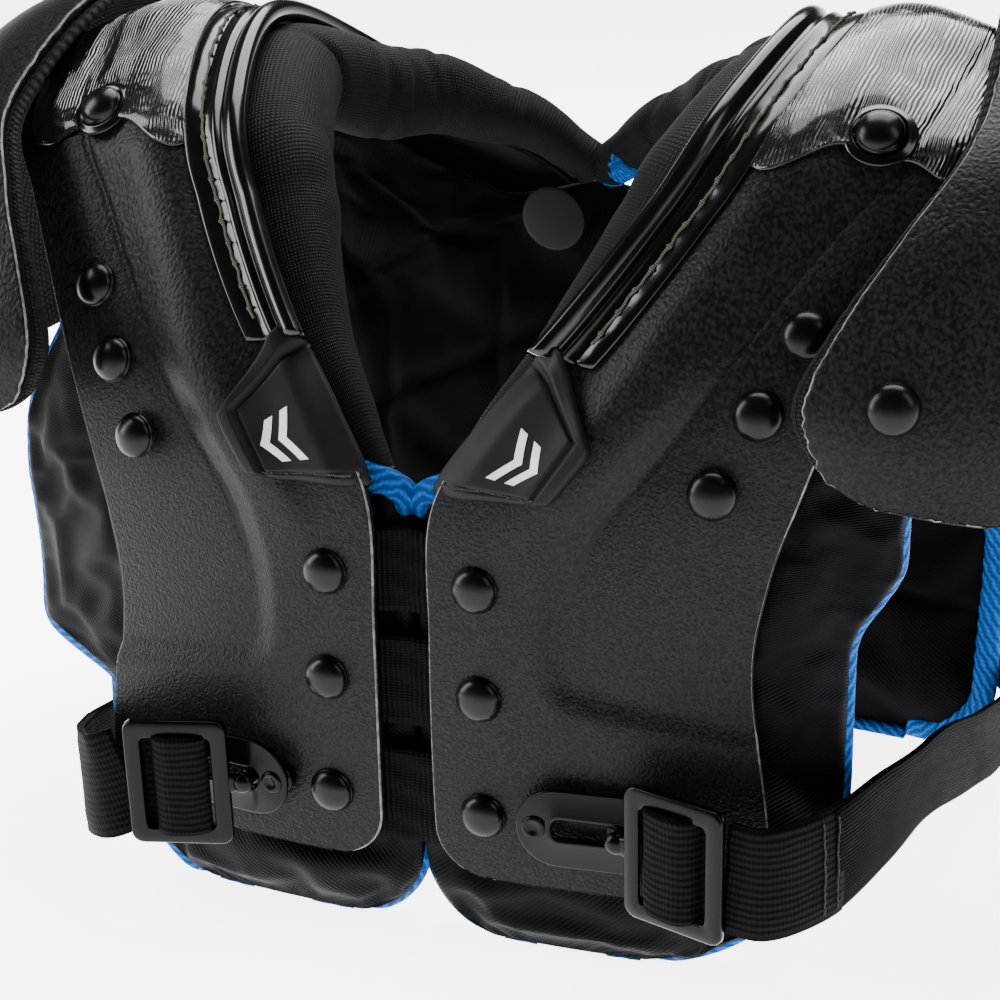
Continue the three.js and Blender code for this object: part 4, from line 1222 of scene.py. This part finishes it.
# ---- keepers, buckles and belts ------------------------------------------------------------------
KEEPER = {"long": 46, "tall": 23, "thick": 1.6, "lift": 6.6, "slot": 21, "slot_tall": 5.4,
          "foot": 19.3}
BUCKLE = {"long": 29, "tall": 38, "bar": 4.4, "thick": 3, "lift": 11, "neck": 4}
BUCKLE_TILT = math.radians(22)   # the belt pulls the buckle's outer end off the chest
REAR_KEEPER = {"long": 40, "tall": 20, "thick": 1.6, "lift": 7.4}
BELT_LEAD = 1.4


class Chest:
    """Local axes of the keeper: x outward across the chest, y up, z away from it."""

    spot = arch.at(0.95, (KEEPER_X - 8) / 91)
    out = unit(arch.normal(0.95, (KEEPER_X - 8) / 91) * np.array([1, 1, 0]))
    along = np.cross([0, 0, 1], out)
    origin = np.array([spot[0], spot[1], KEEPER_Z])

    @classmethod
    def to_model(cls, points, shift=0.0):
        p = np.asarray(points, float).reshape(-1, 3)
        return (cls.origin + (p[:, :1] + shift) * cls.along + p[:, 1:2] * np.array([0, 0, 1])
                + p[:, 2:] * cls.out)


def stadium(long, tall, n=20):
    reach = long / 2 - tall / 2
    right = [(reach + tall / 2 * math.cos(t), tall / 2 * math.sin(t))
             for t in np.linspace(-math.pi / 2, math.pi / 2, n)]
    return np.array(right + [(-x, -y) for x, y in right])


def rounded_box(long, tall, radius, n=8):
    out = []
    for cx, cy, start in ((1, 1, 0), (-1, 1, 1), (-1, -1, 2), (1, -1, 3)):
        for t in np.linspace(0, math.pi / 2, n):
            a = t + start * math.pi / 2
            out.append((cx * (long / 2 - radius) + radius * math.cos(a),
                        cy * (tall / 2 - radius) + radius * math.sin(a)))
    return np.array(out)


def framed_loop(outer, inner, low, high, bevel=0.5, rim=0.0):
    """Points and faces of a flat frame between two outlines of equal length, edges rounded."""
    centre = inner.mean(0)

    def toward(a, b, d):
        return a + (b - a) / np.maximum(np.linalg.norm(b - a, axis=1, keepdims=True), 1e-9) * d

    rings = [(toward(outer, centre, 0.0), low + bevel), (toward(outer, inner, 0.0), high - bevel),
             (toward(outer, inner, bevel * 0.3), high - bevel * 0.3),
             (toward(outer, inner, bevel), high)]
    if rim:
        rings += [(toward(inner, outer, 2.2), high), (toward(inner, outer, 1.5), high + rim),
                  (toward(inner, outer, 0.7), high + rim)]
    else:
        rings += [(toward(inner, outer, bevel), high), (toward(inner, outer, bevel * 0.3),
                                                        high - bevel * 0.3)]
    rings += [(inner, high - bevel), (inner, low + bevel), (toward(inner, outer, bevel), low),
              (toward(outer, inner, bevel), low)]
    points = np.vstack([np.column_stack([xy, np.full(len(xy), z)]) for xy, z in rings])
    n, faces = len(outer), []
    for r in range(len(rings)):
        s = (r + 1) % len(rings)
        for k in range(n):
            q = (k + 1) % n
            faces.append((r * n + k, r * n + q, s * n + q, s * n + k))
    return points, faces


def merged(parts):
    points, faces, base = [], [], 0
    for p, f in parts:
        points.append(np.asarray(p, float).reshape(-1, 3))
        faces.extend([tuple(i + base for i in face) for face in f])
        base += len(points[-1])
    return np.vstack(points), faces


def turned(profile, centre, turns=28):
    """Closed turned solid about local z at a centre; profile pairs are (radius, height)."""
    angles = np.linspace(0, 2 * math.pi, turns, endpoint=False)
    points = [(centre[0], centre[1], profile[0][1])]
    for r, z in profile[1:-1]:
        points.extend([(centre[0] + r * math.cos(a), centre[1] + r * math.sin(a), z)
                       for a in angles])
    points.append((centre[0], centre[1], profile[-1][1]))
    faces, rings = [], len(profile) - 2
    for k in range(turns):
        n = (k + 1) % turns
        faces.append((0, 1 + k, 1 + n))
        for r in range(rings - 1):
            faces.append((1 + r * turns + k, 1 + (r + 1) * turns + k, 1 + (r + 1) * turns + n,
                          1 + r * turns + n))
        faces.append((1 + (rings - 1) * turns + n, 1 + (rings - 1) * turns + k, len(points) - 1))
    return np.array(points), faces


def eyelet(x, high):
    """Small flat rivet with a rolled rim."""
    profile = [(0, high + 0.35), (1.5, high + 0.35), (2.0, high + 0.9), (2.8, high + 0.95),
               (3.3, high + 0.5), (3.4, high - 0.3), (0, high - 0.3)]
    return turned(profile, (x, 0.0))


def build_keeper(word, side):
    k = KEEPER
    high = k["lift"] + k["thick"]
    slot_shift = HOOK_OUT - HOOK_TRAVEL / 2 - KEEPER_X
    inner = stadium(k["slot"], k["slot_tall"])
    inner[:, 0] += slot_shift
    body = framed_loop(stadium(k["long"], k["tall"]), inner, k["lift"], high, 0.45, 0.55)
    feet = [turned([(0, k["lift"] + 0.2), (4, k["lift"] + 0.2), (4, 3.3), (0, 3.3)], (x, 0))
            for x in (-k["foot"], k["foot"])]
    points, faces = merged([body, *feet, eyelet(-k["foot"] + 1.2, high),
                            eyelet(k["foot"] - 0.6, high)])
    obj = make_object(f"{word}_keeper_plate", Chest.to_model(points), faces, [STEEL], side)
    fasten(obj, f"{word}_half", f"{word}_front_keeper")


def tilted(points):
    """Turn points of the buckle off the chest, about the hook."""
    p = np.array(points, float).reshape(-1, 3)
    x, z = p[:, 0].copy(), p[:, 2] - BUCKLE["lift"]
    p[:, 0] = x * math.cos(BUCKLE_TILT) - z * math.sin(BUCKLE_TILT)
    p[:, 2] = BUCKLE["lift"] + x * math.sin(BUCKLE_TILT) + z * math.cos(BUCKLE_TILT)
    return p


def hook_place(side):
    return (HOOK_OUT if side > 0 else HOOK_OUT - HOOK_TRAVEL) - KEEPER_X


def build_buckle(word, side):
    b = BUCKLE
    centre = b["neck"] + b["long"] / 2
    outer = rounded_box(b["long"] + 0.6, b["tall"] + 0.6, 3.4)
    inner = rounded_box(b["long"] - 2 * b["bar"] - 0.4, b["tall"] - 2 * b["bar"] - 1.2, 1.6)
    for outline in (outer, inner):
        outline[:, 0] += centre
    body = framed_loop(outer, inner, b["lift"], b["lift"] + b["thick"], 0.9)
    # The frame bows a little, so it is not a flat plate.
    points = body[0]
    points[:, 2] += 0.9 * (1 - ((points[:, 1]) / (b["tall"] / 2)) ** 2) - 0.45
    ball = [(3.3 * math.sin(t), b["lift"] + 0.6 + 2.9 * math.cos(t))
            for t in np.linspace(0, math.pi / 2, 8)]
    stud = [(0, ball[0][1]), *ball[1:], (3.0, b["lift"]), (1.9, 8.9), (1.9, 6.0), (3.8, 5.9),
            (3.8, 4.4), (0, 4.4)]
    arm_points, arm_faces = framed_arm(b)
    points, faces = merged([(tilted(points), body[1]), turned(stud, (0.0, 0.0)),
                            (tilted(arm_points), arm_faces)])
    obj = make_object(f"{word}_buckle_frame", Chest.to_model(points, hook_place(side)), faces,
                      [STEEL], side)
    fasten(obj, f"{word}_hook", f"{word}_buckle")


def framed_arm(b):
    """Short neck from the stud to the frame, as a flattened round bar."""
    xs = np.linspace(-0.5, b["neck"] + 1.8, 9)
    rows = []
    for x in xs:
        wide = 2.6 + 1.1 * smooth(1.5, 5.5, x)
        rows.append([(x, wide * math.cos(a), b["lift"] + 1.2 + 1.2 * math.sin(a)) for a in
                     np.linspace(0, 2 * math.pi, 18, endpoint=False)])
    faces = grid_faces(len(xs), 18, wrap=True)
    faces += [tuple(range(18)), tuple(range(8 * 18, 9 * 18))]
    return np.array(rows).reshape(-1, 3), faces


def centripetal(points, per_span=24):
    """Centripetal Catmull-Rom curve through the points, as a dense list."""
    p = np.array(points, float)
    p = np.vstack([2 * p[0] - p[1], p, 2 * p[-1] - p[-2]])
    out = []
    for i in range(len(p) - 3):
        a, b, c, d = p[i : i + 4]
        d0, d1, d2 = (math.sqrt(np.linalg.norm(y - x)) for x, y in ((a, b), (b, c), (c, d)))
        m1 = ((b - a) / d0 - (c - a) / (d0 + d1) + (c - b) / d1) * d1
        m2 = ((c - b) / d1 - (d - b) / (d1 + d2) + (d - c) / d2) * d1
        for t in np.linspace(0, 1, per_span, endpoint=False):
            out.append((2 * t**3 - 3 * t**2 + 1) * b + (t**3 - 2 * t**2 + t) * m1
                       + (3 * t**2 - 2 * t**3) * c + (t**3 - t**2) * m2)
    return np.array(out + [p[-2]])


def belt_route(side):
    start = Chest.to_model(tilted([(BUCKLE["neck"] + BUCKLE["long"], 0,
                                    BUCKLE["lift"] - BELT_LEAD)]), hook_place(side))[0]
    near = ([[104, -110, 47], [117, -97, 48], [127, -66, 48], [133.5, -25, 42]] if side > 0
            else [[88, -113, 44], [99, -105, 40], [108, -87, 35], [115, -60, 30], [126, -22, 25]])
    far = [[139, 20, 28], [142.5, 58, 18], [144, 78, 19], [138, 95, 25], [124, 102, 33]]
    back = [arch.at(14.1, v, ARCH_THICK + 2.4).tolist() for v in (0.9, 0.7, 0.52)]
    return centripetal([start.tolist(), *near, *far, *back])


def strap_piece(name, line, width, thick, materials, side, step, edge_roll,
                ripple=0.0, gather=0.0):
    """Flat strap whose width stands upright, with rolled edges."""
    centre, run = resample(line, step)
    centre = smoothed(centre, 2)
    along = unit(np.gradient(centre, axis=0))
    out = unit(np.cross(along, [0, 0, 1]))
    wide = np.cross(out, along)
    across = np.linspace(-1, 1, 22)
    uu, ss = np.meshgrid(run, across, indexing="ij")
    curl = ripple * np.sin(uu / 9.0 + 2.1 * ss) - edge_roll * smooth(0.8, 1, np.abs(ss))
    hem = 0.35 * hump(np.abs(ss), 0.86, 0.05)
    half = ss * (width - gather * smooth(0, 60, uu)) / 2
    top = (centre[:, None] + wide[:, None] * half[..., None]
           + out[:, None] * (thick / 2 + curl - hem)[..., None])
    low = (centre[:, None] + wide[:, None] * half[..., None]
           + out[:, None] * (-thick / 2 + curl)[..., None])
    weave = np.stack([uu, ss * width / 2, 0 * uu], -1)
    return plate(name, top, low, materials, side, 0.5, weave)


def build_belt(word, side):
    line = belt_route(side)
    fine, run = resample(line, 0.5)
    seam = WEBBING_SEAM[side]
    at_seam = int(np.searchsorted(run, seam))
    b = BUCKLE
    # Webbing: over the buckle's near bar, in one fold, and back under it to the seam.
    low = b["lift"] - BELT_LEAD
    bar_x = b["neck"] + b["bar"] / 2
    far_x = b["neck"] + b["long"] - b["bar"]
    fold = [(far_x + 0.4, low), (far_x - 3, low + 0.2), (far_x - 4.4, b["lift"] + 2.2),
            (far_x - 7, b["lift"] + 4.6), (far_x - 13, b["lift"] + 4.5),
            (bar_x + 8, b["lift"] + 4.3), (bar_x + 4.6, b["lift"] + 2.6),
            (bar_x + 4.2, b["lift"] + 0.2), (bar_x + 7, low + 0.9)]
    loop = centripetal([(x, 0, z) for x, z in fold], 14)
    loop_line = Chest.to_model(tilted(loop), hook_place(side))
    parts = [strap_piece(f"{word}_webbing_loop", loop_line, 29.6, 1.7, [WEBBING], side, 0.9, 0.3),
             strap_piece(f"{word}_webbing_lead", fine[: at_seam + 3], BELT_WIDE, 2.0, [WEBBING],
                         side, 1.2, 0.35),]
    for obj in parts:
        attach(obj, f"{word}_hook")
    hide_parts(f"{word}_belt_webbing")
    strap = strap_piece(f"{word}_knit_belt", fine[at_seam - 4 :], BELT_WIDE - 1, 2.2, [KNIT], side,
                        2.0, 0.3, ripple=0.25, gather=7.0)
    start = to_frame([line[len(line) // 2]], side)[0]
    end = to_frame([fine[at_seam]], side)[0]
    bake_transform(strap)
    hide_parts(f"{word}_belt_strap")
    # Two rows of sewing across the seam.
    for k, back in enumerate((1.5, 6.5)):
        i = int(np.searchsorted(run, seam - back))
        along = unit(fine[i + 1] - fine[i - 1])
        out = unit(np.cross(along, [0, 0, 1.0]))
        wide = np.cross(out, along)
        ss = np.linspace(-13.5, 13.5, 60)
        row = fine[i] + wide * ss[:, None] + out * 1.15
        stitched = sew(f"{word}_belt_seam_{k + 1}", row, ss + 13.5, np.repeat(out[None], 60, 0),
                       f"{word}_hook", side, 2.6, DARK_THREAD, 0.28, 0.42)


def build_rear_keeper(word, side):
    r = REAR_KEEPER
    spot, out = arch.at(14.1, 0.56), arch.normal(14.1, 0.56)
    along = unit(np.cross([0, 0, 1.0], out))
    up = np.cross(out, along)
    outline = stadium(r["long"], r["tall"])[:, ::-1] * np.array([1, -1])
    inner = stadium(r["long"] - 15, 5.0)[:, ::-1] * np.array([1, -1])
    body = framed_loop(outline, inner, r["lift"], r["lift"] + r["thick"], 0.45, 0.5)
    studs = [turned([(0, r["lift"] + 0.3), (3.2, r["lift"] + 0.3), (3.2, 3.2), (0, 3.2)], (0, y))
             for y in (-15, 15)]
    caps = [turned([(0, 9.9), (2.2, 9.7), (3.3, 9.0), (3.3, 8.6), (0, 8.6)], (0, y))
            for y in (-15, 15)]
    points, faces = merged([body, *studs, *caps])
    model = spot + points[:, :1] * along + points[:, 1:2] * up + points[:, 2:] * out
    obj = make_object(f"{word}_rear_keeper_plate", model, faces, [STEEL], side)
    fasten(obj, f"{word}_half", f"{word}_rear_keeper")


# ---- assembly ------------------------------------------------------------------------------------
for word, side in (("left", 1), ("right", -1)):
    half = f"{word}_half"
    build_arch(word, side)
    build_cantilever(word, side)
    build_piping(word, side)
    build_band(word, side)
    build_tab(word, side)
    build_flap(word, side)
    build_cap(word, side)
    build_collar(word, side)
    for front in (True, False):
        build_pad(word, side, front)
        build_binding(word, side, front)
    for i, place in enumerate(CHEST_RIVETS):
        build_rivet(f"{word}_chest_rivet_{i + 1}", half, arch, place, ARCH_THICK + 0.4, -2.7, side)
    for i, place in enumerate(SIDE_RIVETS):
        build_rivet(f"{word}_side_rivet_{i + 1}", half, arch, place, ARCH_THICK + 0.9, -2.6, side)
    build_keeper(word, side)
    build_buckle(word, side)
    build_belt(word, side)
    build_rear_keeper(word, side)
for i, (u, _) in enumerate(CHEST_RIVETS):
    build_elastic(f"chest_strap_{i + 1}", u, 0.31 if i == 0 else 0.28)
for i, (u, _) in enumerate(BACK_RIVETS):
    build_elastic(f"back_strap_{i + 1}", u, 0.2)

build_end_tape()
DISC_PLACE = (11.75, 0.02)
DISC_LIFT = -17.0
disc_at = arch.at(*DISC_PLACE, DISC_LIFT)
disc = lathe("right_lining_disc", [(0, 0.5), (9.6, 0.45), (10.8, 0.25), (11.2, 0), (0, -0.6)],
             disc_at, -arch.normal(*DISC_PLACE), [DISC], -1)
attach(disc, "right_half")


# ---- floor, light and camera ---------------------------------------------------------------------
def plain(name, colour, roughness, glow):
    look = Look(name, colour, roughness)
    look.set("Emission Color", (1, 1, 1, 1))
    look.set("Emission Strength", glow)
    speck = look.noise(look.place(), 8, detail=2)
    return look.colour_by(speck, tuple(c * 0.99 for c in colour), colour).material


FLOOR_GLOW = 5.0


def build_floor():
    mesh = bpy.data.meshes.new("floor")
    reach = 6.0
    mesh.from_pydata([(-reach, -reach, 0), (reach, -reach, 0), (reach, reach, 0),
                      (-reach, reach, 0)], [], [(0, 1, 2, 3)])
    mesh.materials.append(plain("pale_floor", (0.93, 0.93, 0.93), 0.9, FLOOR_GLOW))
    floor = bpy.data.objects.new("floor", mesh)
    bpy.context.scene.collection.objects.link(floor)


def area_light(name, place, aim, size, power, size_y=None):
    light = bpy.data.lights.new(name, "AREA")
    light.shape = "RECTANGLE"
    light.size = size
    light.size_y = size_y or size
    light.energy = power
    obj = bpy.data.objects.new(name, light)
    obj.location = place
    obj.rotation_mode = "QUATERNION"
    obj.rotation_quaternion = (Vector(aim) - Vector(place)).to_track_quat("-Z", "Y")
    bpy.context.scene.collection.objects.link(obj)


CAMERA_AZIMUTH = 22.0
CAMERA_ELEVATION = 19.8
CAMERA_ROLL = -1.58
CAMERA_LENS = 69.4
CAMERA_DISTANCE = 602.0
CAMERA_TARGET = (-8.6, DEPTH_SHIFT, 100.0)


def build_camera():
    a, e, r = (math.radians(x) for x in (CAMERA_AZIMUTH, CAMERA_ELEVATION, CAMERA_ROLL))
    right = Vector((math.cos(a), math.sin(a), 0))
    back = Vector((math.sin(a) * math.cos(e), -math.cos(a) * math.cos(e), math.sin(e)))
    up = back.cross(right)
    turned_right = right * math.cos(r) + up * math.sin(r)
    turned_up = up * math.cos(r) - right * math.sin(r)
    camera = bpy.data.cameras.new("camera")
    camera.lens = CAMERA_LENS
    camera.sensor_width = 36
    camera.clip_start = 0.05
    obj = bpy.data.objects.new("camera", camera)
    place = (Vector(CAMERA_TARGET) + back * CAMERA_DISTANCE) / 1000
    axes = Matrix((turned_right, turned_up, back)).transposed().to_4x4()
    obj.matrix_world = Matrix.Translation(place) @ axes
    bpy.context.scene.collection.objects.link(obj)
    bpy.context.scene.camera = obj


def build_world():
    """A bright horizon, so that the floor has no edge against the sky, and a dim studio above."""
    world = bpy.data.worlds.new("studio")
    world.use_nodes = True
    nodes, links = world.node_tree.nodes, world.node_tree.links
    split = nodes.new("ShaderNodeSeparateXYZ")
    links.new(nodes.new("ShaderNodeTexCoord").outputs["Generated"], split.inputs[0])
    fall = nodes.new("ShaderNodeMapRange")
    for socket, value in (("From Min", 0.04), ("From Max", 0.3), ("To Min", 3.2), ("To Max", 0.12)):
        fall.inputs[socket].default_value = value
    links.new(split.outputs[2], fall.inputs[0])
    background = nodes["Background"]
    background.inputs[0].default_value = (1, 1, 1, 1)
    links.new(fall.outputs[0], background.inputs[1])
    bpy.context.scene.world = world


build_floor()
build_world()
build_camera()
area_light("key_left", (-1.3, -0.5, 0.8), (0, 0, 0.1), 0.6, 46, size_y=1.2)
area_light("fill_right", (1.2, -0.35, 1.1), (0, 0, 0.12), 0.4, 9, size_y=1.0)
area_light("top", (0, 0.6, 1.4), (0, 0, 0.1), 1.2, 70)
